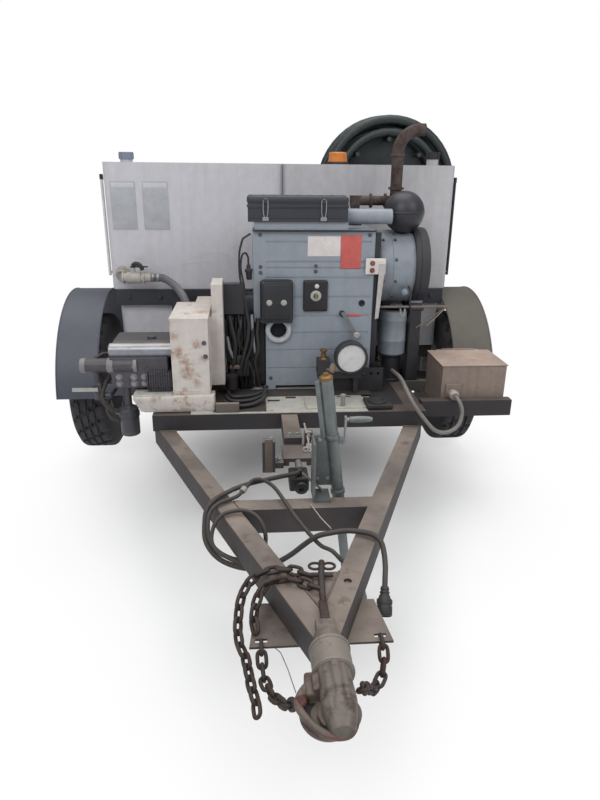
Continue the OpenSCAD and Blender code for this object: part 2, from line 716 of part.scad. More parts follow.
module fender(s) running(s) {
    low = 388;
    difference() {
        about_axle(fender_in) cylinder(r = fender_r, h = fender_w);
        about_axle(fender_in - 1) cylinder(r = fender_r - fender_t, h = fender_w + 2);
        box(fender_in - 5, fender_out + 5, axle_y - 500, axle_y + 500, -200, low);
    }
    reach = sqrt(fender_r * fender_r - (low - axle_z) * (low - axle_z));
    for (m = [0, 1]) translate([0, m * 2 * axle_y, 0]) mirror([0, m, 0]) {
        box(fender_in, fender_out, axle_y - reach + 1, axle_y - reach + fender_lip, low, low + fender_t);
        box(frame_half + s * axle_shift, fender_in + 15, axle_y - 443, axle_y - 412, 400, deck_z);
    }
}
module fender_left() color("#505460") fr() fender(-1);
module fender_right() color("#676058") fr() fender(1);

// ---- Tanks ----
module tank(s) {
    sided(s) {
        translate([0, 0, tank_shoulder]) linear_extrude(tank_top - tank_shoulder)
            polygon(rounded(1, tank_half, tank_y, tank_y + tank_len, tank_edge_r));
        translate([0, 0, tank_bottom]) linear_extrude(tank_shoulder - tank_bottom + 1)
            polygon(rounded(1, tank_low_half, tank_y + 21, tank_y + tank_len - 21, tank_edge_r));
    }
    zcyl([cap_x(s), tank_y + 130, tank_top - 1], cap_d / 2 - 4, 33);
}
function cap_x(s) = s > 0 ? 700 : -690;
function cap_low(s) = tank_top + (s > 0 ? 27 : 12);
module tank_left() color("#bcbbc1") fr() tank(-1);
module tank_right() color("#b0b0b3") fr() tank(1);
module tank_band() color("#2e323c") fr() {
    low = tank_shoulder - band_h;
    difference() {
        box(-tank_low_half - band_side_t, tank_low_half + band_side_t, tank_y + 21 - band_t,
            tank_y + tank_len - 21 + band_t, low, tank_shoulder);
        translate([0, 0, low - 1]) linear_extrude(band_h + 2) polygon(rounded(-tank_low_half,
            tank_low_half, tank_y + 21, tank_y + tank_len - 21, tank_edge_r));
    }
    for (s = [-1, 1]) for (y = [tank_y + 21 - band_t, tank_y + tank_len - 21])
        box(s * 492 - 20, s * 492 + 20, y, y + band_t, deck_z, low);
}
module cap(s) difference() {
    union() {
        zcyl([cap_x(s), tank_y + 130, cap_low(s)], cap_d / 2, cap_h);
        for (i = [0 : 11]) translate([cap_x(s), tank_y + 130, cap_low(s)]) rotate(30 * i)
            translate([cap_d / 2 - 1, -2, 2]) cube([3, 4, cap_h - 5]);
    }
    zcyl([cap_x(s), tank_y + 130, cap_low(s) - 1], cap_d / 2 - 4 + running_fit, tank_top + 33 - cap_low(s));
}
module cap_left() color("#848b9c") fr() cap(-1);
module cap_right() color("#201c1f") fr() cap(1);
module tank_fittings() color("#aea8a7") fr() {
    for (s = [-1, 1]) sided(s) {
        x = tank_half + 9 + sight_d / 2;
        zcyl([x, tank_y + 50, valve_z - 14], sight_d / 2, tank_top - 40 - valve_z);
        for (z = [valve_z, tank_top - 68]) xcyl([tank_half, tank_y + 50, z], 5, 12);
    }
    difference() {
        union() {
            ycyl([valve_x, tank_y - 12, valve_z], 34, 12);
            ycyl([valve_x, valve_y, valve_z], 20, tank_y - valve_y);
            translate([valve_x, valve_y, valve_z - 3]) sphere(r = 24);
            xcyl([valve_x, valve_y, valve_z - 7], 20, 134);
            xcyl([valve_x + 32, valve_y, valve_z - 7], 25, 50);
            zcyl([valve_x + 57, valve_y, valve_z - 7], 11, 44);
        }
        zcyl([valve_x + 57, valve_y, valve_z + 20], 5 + running_fit, 30);
    }
}
module tank_valve_lever() color("#3a3736") fr() {
    zcyl([valve_x + 57, valve_y, valve_z + 23], 5, 18);
    box(valve_x + 47, valve_x + 122, valve_y - 8, valve_y + 8, valve_z + 38, valve_z + 43);
}
module suction_hose() color("#57565c") fr() tube(laid(suction_route, 3), suction_d / 2, 10);
module lamps() color("#c1794d") fr() {
    zcyl([252, tank_y + 80, tank_top], 47, 12);
    zcyl([252, tank_y + 80, tank_top + 12], 43, 38);
    for (s = [-1, 1]) box(s * 450 - 50, s * 450 + 50, frame_back, frame_back + lamp_depth, 386, 438);
}

// ---- Hose coil ----
// The hose winds in on the front layer, climbs in the half turn where it reverses, and winds out
function coil_radius(t) = coil_r - coil_step * min(t, coil_turns - t);
function coil_depth(t) = let (u = min(1, max(0, (t - coil_turns / 2 + 0.25) * 2)))
    front_layer_y + (back_layer_y - front_layer_y) * u;
function coil_point(t) = [coil_x + coil_radius(t) * sin(360 * t), coil_depth(t),
                          coil_z - coil_radius(t) * cos(360 * t)];
coil_path = concat(
    [[coil_x - hose_d, front_layer_y, coil_z - coil_r]],
    [for (i = [0 : 24 * coil_turns]) coil_point(i / 24)],
    [[coil_x + hose_d, back_layer_y, coil_z - coil_r]]
);
coil_apart = min([
    for (i = [0 : last(coil_path) - 12]) for (j = [i + 12 : last(coil_path)])
        norm(coil_path[i] - coil_path[j])
]) - hose_d;
echo(coil_gap_mm = coil_apart);
module hose_coil() color("#2a3330") fr() tube(coil_path, hose_d / 2, 6, [0, 0, -1]);
module hose_fittings() color("#9a9ca0") fr() {
    xcyl([coil_x - hose_d - 70 - gap, front_layer_y, coil_z - coil_r], hose_d / 2 + 3, 70);
    xcyl([coil_x + hose_d + gap, back_layer_y, coil_z - coil_r], hose_d / 2 + 3, 70);
}
module hose_rack() color("#23252b") fr() {
    peg_r = 12;
    ycyl([coil_x, rack_y, coil_z], rack_plate_d / 2, rack_t);
    for (a = [45, 90, 135]) {
        r = coil_radius(coil_turns / 2 - 0.5 + abs(a - 90) / 360) - hose_d / 2 - peg_r - 2 * gap;
        ycyl([coil_x + r * cos(a), front_layer_y - 30, coil_z + r * sin(a)], peg_r,
             rack_y - front_layer_y + 31);
    }
    box(475, 525, rear_member_y, rear_member_y + 50, deck_z, coil_z);
    box(475, coil_x + 40, rack_y + rack_t, rear_member_y + 50, coil_z - 60, coil_z);
}

// ---- Engine ----
module engine() color("#5c5f66") fr() {
    difference() {
        union() {
            box(-100, 310, capsule_y + 60, capsule_y + capsule_d - 30, 500, shaft_z + 105);
            for (x = [-20, 100, 220]) {
                zcyl([x, 1910, 719], 42, 300);
                for (z = [735 : 22 : 970]) zcyl([x, 1910, z], 50, 9);
                box(x - 50, x + 50, 1850, 1970, 985, 1060);
            }
            for (x = [-80, 240]) box(x, x + 50, 1800, 2020, deck_top, 501);
        }
        xcyl([-120, shaft_y, shaft_z], shaft_d / 2 + running_fit, 450);
    }
    xcyl([capsule_right, 1850, 755], 10, 70);
    zcyl([467, 1850, 569], 59, 198);
    zcyl([467, 1850, deck_z], 42, 125);
    xcyl([guard_right + 2, 1800, 790], 55, capsule_left - guard_right - 2);
}
module engine_capsule() color("#8c929c") fr() {
    t = capsule_t;
    difference() {
        box(capsule_left, capsule_right, capsule_y, capsule_y + capsule_d, capsule_low, capsule_top);
        box(capsule_left + t, capsule_right - t, capsule_y + t, capsule_y + capsule_d - t,
            capsule_low - 1, capsule_top - t);
        box(capsule_left - 1, -90, capsule_y - 1, capsule_y + 60, capsule_low - 1, 740);
        for (z = groove_heights)
            box(-85, capsule_right - 14, capsule_y - 1, capsule_y + groove_d, z - 4, z + 4);
        for (x = [capsule_left - 5, capsule_right - t - 5])
            xcyl([x, shaft_y, shaft_z], shaft_d / 2 + 4, t + 10);
        ycyl([-38, capsule_y - 1, 708], 33, t + 2);
        ycyl([303, capsule_y - 1, 816], 9, t + 2);
        zcyl([300, 1965, capsule_top - t - 1], 21, t + 2);
    }
    difference() {
        ycyl([-38, capsule_y - 6, 708], 53, 6);
        ycyl([-38, capsule_y - 7, 708], 33, 8);
    }
    for (x = [-80, 300]) box(x, x + 30, capsule_y, capsule_y + t, deck_top, capsule_low);
}
module engine_rotor() color("#55575c") fr() {
    xcyl([belt_left - 5, shaft_y, shaft_z], shaft_d / 2, 376 - belt_left + 5);
    xcyl([352, shaft_y, shaft_z], 128, 24);
    pulley(engine_pulley_d, shaft_y);
}
module pulley(d, y) translate([belt_left, y, shaft_z]) rotate([0, 90, 0]) difference() {
    cylinder(d = d, h = belt_right - belt_left);
    for (x = [-1, belt_right - belt_left - 13])
        translate([0, 0, x]) difference() {
            cylinder(d = d - 24, h = 14);
            translate([0, 0, -1]) cylinder(d = 56, h = 16);
        }
}
module fan_drum() color("#8a8d96") fr() {
    about_fan(380) difference() {
        cylinder(r = drum_r, h = 150);
        translate([0, 0, 5]) cylinder(r = drum_r - 4, h = 146);
        translate([0, 0, -1]) cylinder(r = 10 + running_fit, h = 10);
    }
    about_fan(capsule_right) difference() {
        cylinder(r = 60, h = 380 - capsule_right);
        translate([0, 0, -1]) cylinder(r = 50, h = 40);
    }
    about_fan(530) difference() {
        cylinder(r = drum_r + 9, h = hood_w);
        translate([0, 0, -1]) cylinder(r = drum_r - 4, h = hood_w - 5);
    }
    difference() {
        box(532, 580, 1810, 1950, deck_z, drum_z);
        about_fan(520) cylinder(r = drum_r + 4, h = 100);
    }
    box(capsule_right, 664, 1729, 1737, 793, 801);
}
module about_fan(x) translate([x, shaft_y, drum_z]) rotate([0, 90, 0]) children();
module fan_rotor() color("#4a4c52") fr() {
    about_fan(372) cylinder(r = 10, h = 120);
    about_fan(400) cylinder(r = 42, h = 80);
    for (i = [0 : blade_count - 1]) about_fan(0) rotate(360 * i / blade_count)
        translate([40, 0, 440]) rotate([35, 0, 0]) translate([0, -2, -28]) cube([80, 4, 56]);
}
module air_box() color("#424652") fr() {
    difference() {
        box(-155, 231, 1700, air_back, 1136, air_seam);
        box(-150, 226, 1705, air_back - 5, 1141, air_seam + 1);
    }
    hinge_base(-60, 140, air_back + hinge_r + gap, air_seam);
}
module air_box_lid() color("#3a3e49") fr() {
    box(-155, 231, 1700, air_back, air_seam + gap, 1227);
    for (x = [-93, 130]) box(x, x + 12, 1692, 1701, 1204, 1220);
    hinge_lid(-60, 140, air_back + hinge_r + gap, air_seam);
}
module intake_duct() color("#a1a2ab") fr() {
    box(-130, 235, 1710, 1826, capsule_top, 1136);
    xcyl([231, 1790, 1152], 30, 190);
    translate([485, 1850, 1166]) difference() {
        sphere(r = precleaner_d / 2);
        translate([-precleaner_d, -precleaner_d, -precleaner_d - 48])
            cube([2 * precleaner_d, 2 * precleaner_d, precleaner_d]);
    }
}
// The exhaust's elbow, which turns from upright to level towards the right
module elbow(angle) translate([bend_x, exhaust_y, bend_z]) rotate([90, 0, 0]) rotate([0, 0, 90])
    rotate_extrude(angle = angle) translate([exhaust_bend, 0]) children();
module exhaust() color("#5e4a42") fr() {
    r = exhaust_d / 2;
    y = exhaust_y;
    zcyl([300, y, capsule_top - 30], 20, 110);
    zcyl([300, y, capsule_top], 32, 6);
    xcyl([300, y, 1205], 20, 170);
    translate([300, y, 1185]) cylinder(r = 24, h = 40);
    zcyl([bend_x - exhaust_bend, y, 1200], 38, 22);
    difference() {
        union() {
            zcyl([bend_x - exhaust_bend, y, 1190], r, bend_z - 1190);
            zcyl([bend_x - exhaust_bend, y, 1250], r + 8, 10);
            elbow(90) circle(r = r);
            xcyl([bend_x, y, bend_z + exhaust_bend], r, 20);
        }
        zcyl([bend_x - exhaust_bend, y, 1240], r - 2.5, bend_z - 1240 + 0.01);
        elbow(91) circle(r = r - 2.5);
        xcyl([bend_x, y, bend_z + exhaust_bend], r - 2.5, 21);
    }
}

// ---- Controls ----
module control_panel() color("#2b2c31") fr() {
    difference() {
        facing([[-108, 744], [17, 744], [4, 914], [-96, 914]], panel_y - 40, panel_y);
        ycyl([-38, panel_y - 6 - gap, 708], 53 + gap, 10);
    }
    difference() {
        box(65, 158, panel_y - 14, panel_y, 788, 908);
        ycyl([112, panel_y - 15, 850], 6 + running_fit, 12);
    }
    box(guard_right + 3, -176, 1690, 1735, 780, 900);
    box(-176, capsule_left, 1721, 1733, 850, 862);
    difference() {
        box(313, 390, panel_y - 8, panel_y, 936, 995);
        ycyl([throttle_x, panel_y - 9, throttle_z], 4 + running_fit, 8);
    }
    difference() {
        ycyl([223, panel_y - 10, 774], 12, 10);
        ycyl([223, panel_y - 11, 774], 4 + running_fit, 9);
    }
}
module throttle_lever() color("#63676b") fr() {
    ycyl([throttle_x, panel_y - 14, throttle_z], 4, 13);
    facing([[366, 974], [391, 974], [372, 756], [358, 752]], panel_y - 14, panel_y - 9);
}
module stop_lever() color("#63676b") fr() {
    ycyl([223, panel_y - 16, 774], 4, 14);
    facing([[216, 780], [230, 782], [288, 690], [280, 682]], panel_y - 16, panel_y - 11);
}
module key() color("#8d8f92") fr() {
    ycyl([112, panel_y - 22, 850], 6, 18);
    box(109, 115, panel_y - 42, panel_y - 22, 838, 862);
}

// ---- Pump and drive ----
module pump() color("#6f6d75") fr() {
    low = guard_low + 5;
    difference() {
        union() {
            box(-690, -460, 1600, 1800, low, 670);
            slab([[1600, 669], [1800, 669], [1770, 690], [1630, 690]], -690, -460);
            box(-685, -470, 1530, 1601, 530, 650);
            for (z = [low + 4 : 12 : 586]) box(-545, -455, 1512, 1531, z, z + 6);
            box(-540, -460, 1518, 1601, low, 592);
            xcyl([-687, 1560, 672], 27, 235);
            xcyl([-795, 1545, 618], 26, 200);
            ycyl([-480, 1799, 590], 19, 31);
            zcyl([-541, 1650, 689], 16, 16);
            zcyl([-634, 1555, 441], 14, 90);
            zcyl([-634, 1555, 330], 36, 112);
            zcyl([outlet_x, 1550, 480], 14, 120);
            xcyl([outlet_x, 1550, 494], 13, 50);
            box(outlet_x - 16, outlet_x + 16, 1535, 1570, outlet_z - 16, outlet_z + 16);
        }
        xcyl([-560, pump_shaft_y, shaft_z], pump_shaft_d / 2 + running_fit, 110);
        ycyl([outlet_x, 1530, outlet_z], 5 + running_fit, 20);
    }
}
module pump_rotor() color("#55575c") fr() {
    xcyl([-558, pump_shaft_y, shaft_z], pump_shaft_d / 2, 558 + belt_right);
    pulley(pump_pulley_d, pump_shaft_y);
}
// Loop round both pulleys, its corners set out so that no side cuts into a pulley
function belt_loop(extra) = let (
    a = pump_pulley_d / 2 + extra,
    b = engine_pulley_d / 2 + extra,
    d = shaft_y - pump_shaft_y,
    tilt = acos((a - b) / d),
    sides = 40,
    long = (360 - 2 * tilt) / sides,
    short = 2 * tilt / sides
) concat(
    [for (i = [0 : sides]) let (g = tilt + long * i) a / cos(long / 2) * [cos(g), sin(g)]],
    [for (i = [0 : sides]) let (g = short * i - tilt) [d, 0] + b / cos(short / 2) * [cos(g), sin(g)]]
);
module drive_belts() color("#26262a") fr() {
    pitch = (belt_right - belt_left) / (belt_count + 1);
    for (i = [1 : belt_count]) translate([belt_left + pitch * i - 6, pump_shaft_y, shaft_z])
        rotate([90, 0, 90]) linear_extrude(12) difference() {
            polygon(belt_loop(gap + belt_t));
            polygon(belt_loop(gap));
        }
}
module belt_guard() color("#bbb6b2") fr() {
    t = guard_t;
    rear = guard_split - 76;
    tall = guard_right - 43;
    back = 2020;
    difference() {
        union() {
            box(guard_left, guard_split, 1490, 1795, guard_low, guard_top);
            box(rear, guard_right, 1600, back, guard_low, guard_rear_top);
            slab([[1600, guard_low], [1600, guard_tall_top], [1740, guard_tall_top],
                  [back, guard_tall_top - 90], [back, guard_low]], tall, guard_right);
        }
        box(guard_left + t, guard_split - t, 1490 + t, 1795 - t, guard_low - 1, guard_top - t);
        box(rear + t, guard_right - t, 1600 + t, back - t, guard_low - 1, guard_rear_top - t);
        slab([[1600 + t, guard_low - 1], [1600 + t, guard_tall_top - t], [1740, guard_tall_top - t],
              [back - t, guard_tall_top - 90 - t], [back - t, guard_low - 1]], tall + t, guard_right - t);
        xcyl([guard_right - t - 5, shaft_y, shaft_z], shaft_d / 2 + 4, t + 10);
        xcyl([guard_left - 5, pump_shaft_y, shaft_z], pump_shaft_d / 2 + 4, t + 10);
    }
}
module outlet_lever() color("#3a3736") fr() {
    ycyl([outlet_x, 1520, outlet_z], 5, 28);
    box(outlet_x - 89, outlet_x + 7, 1520, 1526, outlet_z - 7, outlet_z + 7);
}

// ---- Gauge ----
module gauge() color("#2f2f33") fr() {
    difference() {
        union() {
            ycyl([250, 1600, 616], gauge_d / 2, gauge_depth);
            box(120, 300, 1640, 1680, 520, 560);
            for (x = [130, 270]) box(x, x + 20, 1650, 1670, deck_top, 521);
            box(117, 168, 1620, 1680, 542, 602);
        }
        ycyl([250, 1599, 616], gauge_d / 2 - 8, 9);
        ycyl([250, 1600, 616], 2 + running_fit, 20);
    }
    difference() {
        box(180, 400, 1684, 1688, deck_top, 550);
        for (x = [200 : 30 : 390]) ycyl([x, 1680, 525], 6, 12);
    }
}
module gauge_needle() color("#1c1c1f") fr() {
    ycyl([250, 1603, 616], 2, 12);
    ycyl([250, 1603, 616], 5, 2);
    translate([250, 0, 616]) rotate([0, -135, 0]) box(-1, 1, 1603, 1605, -10, gauge_d / 2 - 20);
}

// ---- Battery ----
module battery_box() color("#847773") fr() {
    x0 = battery_x;
    x1 = x0 + battery_w;
    t = battery_t;
    top = battery_low + battery_h;
    difference() {
        box(x0, x1, battery_y, battery_back, battery_low, top);
        box(x0 + t, x1 - t, battery_y + t, battery_back - t, battery_low + t, top + 1);
    }
    box(x0 + 30, x1 - 35, battery_y + 25, battery_back - 30, battery_low + t, top - 22);
    box(638, 700, battery_y - 8, battery_y, 457, 512);
    ycyl([665, 1516, 475], 15, 50);
    hinge_base(x0 + 40, x1 - 40, battery_back + hinge_r + gap, top);
}
module battery_lid() color("#c1ada3") fr() {
    top = battery_low + battery_h;
    box(battery_x - 4, battery_x + battery_w + 4, battery_y - 4, battery_back, top + gap, top + 4 + gap);
    hinge_lid(battery_x + 40, battery_x + battery_w - 40, battery_back + hinge_r + gap, top);
}

// ---- Cables ----
module wiring_cable() color("#332e2e") fr() tube(laid(wiring_route, 2), wiring_d / 2, 8);
module wiring_branch() color("#332e2e") fr() {
    tube(laid(branch_route, 1), wiring_d / 2 - 1.5, 8);
}
module wiring_plug() color("#1f1e20") fr() {
    tip = wiring_route[last(wiring_route)];
    dir = heading(wiring_route, last(wiring_route));
    translate(tip) rotate([0, acos(dir[2]), atan2(dir[1], dir[0])]) rotate_extrude()
        polygon([[0, 0], [11, 0], [15, 28], [21, 34], [21, 72], [18, 75], [0, 75]]);
}
module battery_conduit() color("#6f7177") fr() tube(laid(conduit_route, 2), conduit_d / 2, 8);

tongue_rail_left();
tongue_rail_right();
tongue_members();
coupler_body();
coupler_jaw();
coupler_collar();
chain_left();
chain_right();
jack_tube();
jack_leg();
jack_crank();
frame_rail_left();
frame_rail_right();
frame_crossmembers();
deck_plate();
axle();
wheel_left();
wheel_right();
tyre_left();
tyre_right();
fender_left();
fender_right();
tank_left();
tank_right();
tank_band();
cap_left();
cap_right();
tank_fittings();
tank_valve_lever();
suction_hose();
lamps();
hose_coil();
hose_fittings();
hose_rack();
engine();
engine_capsule();
engine_rotor();
fan_drum();
fan_rotor();
air_box();
air_box_lid();
intake_duct();
exhaust();
control_panel();
throttle_lever();
stop_lever();
key();
pump();
pump_rotor();
drive_belts();
belt_guard();
outlet_lever();
gauge();
gauge_needle();
battery_box();
battery_lid();
wiring_cable();
wiring_branch();
wiring_plug();
battery_conduit();
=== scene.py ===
import math
import bpy
import bmesh
from mathutils import Matrix, Vector


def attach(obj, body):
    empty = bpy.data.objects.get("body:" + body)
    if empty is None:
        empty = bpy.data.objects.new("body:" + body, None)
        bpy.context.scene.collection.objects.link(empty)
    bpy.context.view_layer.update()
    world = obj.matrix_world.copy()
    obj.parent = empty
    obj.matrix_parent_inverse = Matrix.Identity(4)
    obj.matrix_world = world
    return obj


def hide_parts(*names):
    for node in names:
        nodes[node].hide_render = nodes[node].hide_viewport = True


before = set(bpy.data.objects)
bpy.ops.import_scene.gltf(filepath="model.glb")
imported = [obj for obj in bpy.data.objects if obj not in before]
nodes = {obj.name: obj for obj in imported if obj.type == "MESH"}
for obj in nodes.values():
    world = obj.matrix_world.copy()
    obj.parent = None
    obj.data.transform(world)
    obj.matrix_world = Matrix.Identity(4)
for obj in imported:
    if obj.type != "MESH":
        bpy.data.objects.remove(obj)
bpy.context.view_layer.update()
bpy.ops.object.select_all(action="DESELECT")


# ---- Camera ----
# It stands just in front of the coupler at a low standing height and looks down the tongue.
# Places in this file are millimetres in the maker's drawing: across from the tongue's centre
# line, back from the front of the coupler, and up. The frame's origin is under the middle.
MIDDLE = Vector((0.04175, 1.684325, 0))


def at(x, y, z):
    return Vector((x, y, z)) / 1000 - MIDDLE


FOCAL, IMAGE_HEIGHT, SENSOR = 626.24, 800, 36
PITCH, YAW, ROLL = math.radians(20.302), math.radians(4.708), math.radians(0.6365)
bpy.ops.object.camera_add(location=at(-152.4, -790.8, 1330.1))
camera = bpy.context.object
camera.data.sensor_fit = "VERTICAL"
camera.data.sensor_height = SENSOR
camera.data.lens = FOCAL / IMAGE_HEIGHT * SENSOR
forward = Vector((math.sin(YAW) * math.cos(PITCH), math.cos(YAW) * math.cos(PITCH), -math.sin(PITCH)))
level = Vector((math.cos(YAW), -math.sin(YAW), 0))
upright = level.cross(forward)
right = math.cos(ROLL) * level + math.sin(ROLL) * upright
up = math.cos(ROLL) * upright - math.sin(ROLL) * level
camera.rotation_euler = Matrix((right, up, -forward)).transposed().to_euler()
bpy.context.scene.camera = camera


# ---- Lighting cable ----
# The trailer's lighting cable, 15 mm thick in a black rubber sheath. It leaves the end box of the
# spine tube, hangs in a loop over the left tongue tube, and ends in a round plug by the right one.
def linear(code, alpha=1.0):
    channels = [int(code[i:i + 2], 16) / 255 for i in (1, 3, 5)]
    return [c / 12.92 if c <= 0.04045 else ((c + 0.055) / 1.055) ** 2.4 for c in channels] + [alpha]


def add(material, kind, settings=(), links=()):
    """Adds a node; settings are by socket or attribute name, links are (socket, output)."""
    node = material.node_tree.nodes.new(kind)
    for name, value in dict(settings).items():
        if isinstance(name, int) or name in node.inputs.keys():
            node.inputs[name].default_value = value
        else:
            setattr(node, name, value)
    for socket, output in dict(links).items():
        material.node_tree.links.new(output, node.inputs[socket])
    return node


def new_material(name):
    material = bpy.data.materials.new(name)
    material.use_nodes = True
    material.node_tree.nodes.clear()
    return material


def weathered(name, colour, dust, rust="#5a3b2c", dusty=0.5, rusty=0.2, rough=0.6, metal=0.0,
              mottle=0.16, runs=0.0, pit=0.5, pit_size=4.0):
    """A finish that has stood outdoors. It fades in clouds some 40 mm across, dust settles in 200 mm
    patches on what faces up, rust comes through in 60 mm spots with ragged edges, and runs stain the
    sides. The pits are pit_size millimetres across, drawn coarser than real ones so that they show."""
    m = new_material(name)
    place = add(m, "ShaderNodeTexCoord").outputs["Object"]
    patches = add(m, "ShaderNodeTexNoise", {"Scale": 5.0, "Detail": 5.0}, {"Vector": place})
    cloud = add(m, "ShaderNodeTexNoise", {"Scale": 27.0, "Detail": 7.0, "Roughness": 0.65},
                {"Vector": place})
    spots = add(m, "ShaderNodeTexNoise", {"Scale": 17.0, "Detail": 9.0, "Roughness": 0.72},
                {"Vector": place})
    pits = add(m, "ShaderNodeTexNoise", {"Scale": 1000 / pit_size / 2, "Detail": 3.0}, {"Vector": place})
    split = add(m, "ShaderNodeSeparateXYZ", links={0: add(m, "ShaderNodeNewGeometry").outputs["Normal"]})
    tone = add(m, "ShaderNodeMapRange",
               {"From Min": 0.3, "From Max": 0.7, "To Min": 1 - mottle, "To Max": 1 + mottle},
               {"Value": cloud.outputs["Fac"]})
    toned = add(m, "ShaderNodeVectorMath", {"operation": "SCALE", 0: linear(colour)[:3]},
                {"Scale": tone.outputs[0]})
    tops = add(m, "ShaderNodeMapRange", {"From Min": 0.3, "From Max": 0.95, "To Min": 0.1},
               {"Value": split.outputs["Z"]})
    settle = add(m, "ShaderNodeMapRange",
                 {"From Min": 0.35, "From Max": 0.65, "To Min": 0.45 * dusty, "To Max": dusty},
                 {"Value": patches.outputs["Fac"]})
    dust_share = add(m, "ShaderNodeMath", {"operation": "MULTIPLY"},
                     {0: tops.outputs[0], 1: settle.outputs[0]})
    dusted = add(m, "ShaderNodeMix", {"data_type": "RGBA", 7: linear(dust)},
                 {0: dust_share.outputs[0], 6: toned.outputs[0]})
    edge = 0.78 - 0.3 * rusty
    rust_share = add(m, "ShaderNodeMapRange", {"From Min": edge - 0.1, "From Max": edge + 0.04},
                     {"Value": spots.outputs["Fac"]})
    last = add(m, "ShaderNodeMix", {"data_type": "RGBA", 7: linear(rust)},
               {0: rust_share.outputs[0], 6: dusted.outputs[2]})
    if runs:
        # Stains about 15 mm wide that run down the sides
        drawn = add(m, "ShaderNodeMapping", {"Scale": (34, 34, 2.2)}, {"Vector": place})
        streaks = add(m, "ShaderNodeTexNoise", {"Scale": 1.0, "Detail": 4.0}, {"Vector": drawn.outputs[0]})
        amount = add(m, "ShaderNodeMapRange", {"From Min": 0.5, "From Max": 0.72, "To Max": runs},
                     {"Value": streaks.outputs["Fac"]})
        last = add(m, "ShaderNodeMix", {"data_type": "RGBA", 7: linear(rust)},
                   {0: amount.outputs[0], 6: last.outputs[2]})
    gloss = add(m, "ShaderNodeMapRange", {"To Min": rough - 0.12, "To Max": min(1.0, rough + 0.2)},
                {"Value": cloud.outputs["Fac"]})
    relief = add(m, "ShaderNodeBump", {"Strength": pit, "Distance": 0.0006},
                 {"Height": pits.outputs["Fac"]})
    shader = add(m, "ShaderNodeBsdfPrincipled", {"Metallic": metal},
                 {"Base Color": last.outputs[2], "Roughness": gloss.outputs[0],
                  "Normal": relief.outputs[0]})
    add(m, "ShaderNodeOutputMaterial", links={"Surface": shader.outputs[0]})
    return m


def eased(points, steps):
    """A smooth line through the points, with its first and last stretch left straight."""
    inner = points[1:-1]
    line = [points[0]]
    for i in range(len(inner) - 1):
        a, b, c, d = inner[max(i - 1, 0)], inner[i], inner[i + 1], inner[min(i + 2, len(inner) - 1)]
        for k in range(steps):
            t = k / steps
            line.append(0.5 * (2 * b + (c - a) * t + (2 * a - 5 * b + 4 * c - d) * t * t
                               + (3 * b - a - 3 * c + d) * t ** 3))
    return line + [inner[-1], points[-1]]


def cable(name, line, radius, material, body="trailer"):
    curve = bpy.data.curves.new(name, "CURVE")
    curve.dimensions = "3D"
    curve.bevel_depth = radius
    curve.bevel_resolution = 3
    curve.use_fill_caps = True
    spline = curve.splines.new("POLY")
    spline.points.add(len(line) - 1)
    for point, place in zip(spline.points, line):
        point.co = (*place, 1)
    piece = bpy.data.objects.new(name, curve)
    bpy.context.scene.collection.objects.link(piece)
    curve.materials.append(material)
    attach(piece, body)
    return piece


def select_only(piece):
    bpy.ops.object.select_all(action="DESELECT")
    piece.select_set(True)
    bpy.context.view_layer.objects.active = piece


def settled(name, material, body="trailer", angle=35):
    """Puts the active object's place into its mesh, names and finishes it, and fixes it to its body."""
    piece = bpy.context.object
    piece.name = name
    piece.data.name = name
    bpy.ops.object.transform_apply(location=True, rotation=True, scale=True)
    piece.data.materials.clear()
    piece.data.materials.append(material)
    bpy.ops.object.shade_smooth_by_angle(angle=math.radians(angle))
    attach(piece, body)
    return piece


def turned(name, start, along, outline, material, body="trailer", sides=40, angle=35):
    """A turned piece: its half outline of (distance, radius) in millimetres is drawn by extruding
    a point, and is spun round the axis."""
    axis = along.normalized()
    side = axis.orthogonal().normalized()
    corners = [start + axis * d / 1000 + side * r / 1000 for d, r in outline]
    bpy.ops.object.select_all(action="DESELECT")
    bpy.ops.mesh.primitive_plane_add(size=0.01, location=corners[0])
    bpy.ops.object.transform_apply(location=True, rotation=True, scale=True)
    bpy.ops.object.mode_set(mode="EDIT")
    bpy.ops.mesh.select_all(action="SELECT")
    bpy.ops.mesh.merge(type="CENTER")
    for here, there in zip(corners, corners[1:]):
        bpy.ops.mesh.extrude_region_move(TRANSFORM_OT_translate={"value": there - here})
    bpy.ops.mesh.select_all(action="SELECT")
    bpy.ops.mesh.spin(steps=sides, angle=math.tau, center=start, axis=axis)
    bpy.ops.mesh.select_all(action="SELECT")
    bpy.ops.mesh.remove_doubles(threshold=0.00005)
    bpy.ops.mesh.normals_make_consistent(inside=False)
    bpy.ops.object.mode_set(mode="OBJECT")
    return settled(name, material, body, angle)


CABLE_RADIUS = 0.0075
WIRING = [at(*p) for p in [
    (0, 1054, 400), (0, 1040, 400), (-20, 1024, 401), (-62, 1008, 402), (-110, 988, 402),
    (-160, 970, 400), (-205, 948, 396), (-240, 922, 392), (-268, 890, 391), (-291, 859, 376),
    (-297, 825, 340), (-294, 795, 313), (-277, 765, 294), (-250, 738, 282), (-214, 716, 276),
    (-172, 700, 275), (-130, 693, 281), (-90, 693, 296), (-50, 694, 320), (-15, 691, 352),
    (20, 686, 381), (58, 685, 391), (100, 690, 393), (142, 682, 393), (172, 663, 394),
    (190, 645, 384), (195, 622, 364), (194, 594, 342), (189, 568, 324), (186, 552, 308)]]
# Extruded black rubber: matt, greyed by dust on its upper side.
sheath = weathered("black_rubber_cable_sheath", "#2f2b2b", "#665d56", dusty=0.45, rusty=0.0, rough=0.7)
wiring_line = eased(WIRING, 6)
wiring_cable = cable("lighting_cable", wiring_line, CABLE_RADIUS, sheath)
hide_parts("wiring_cable")
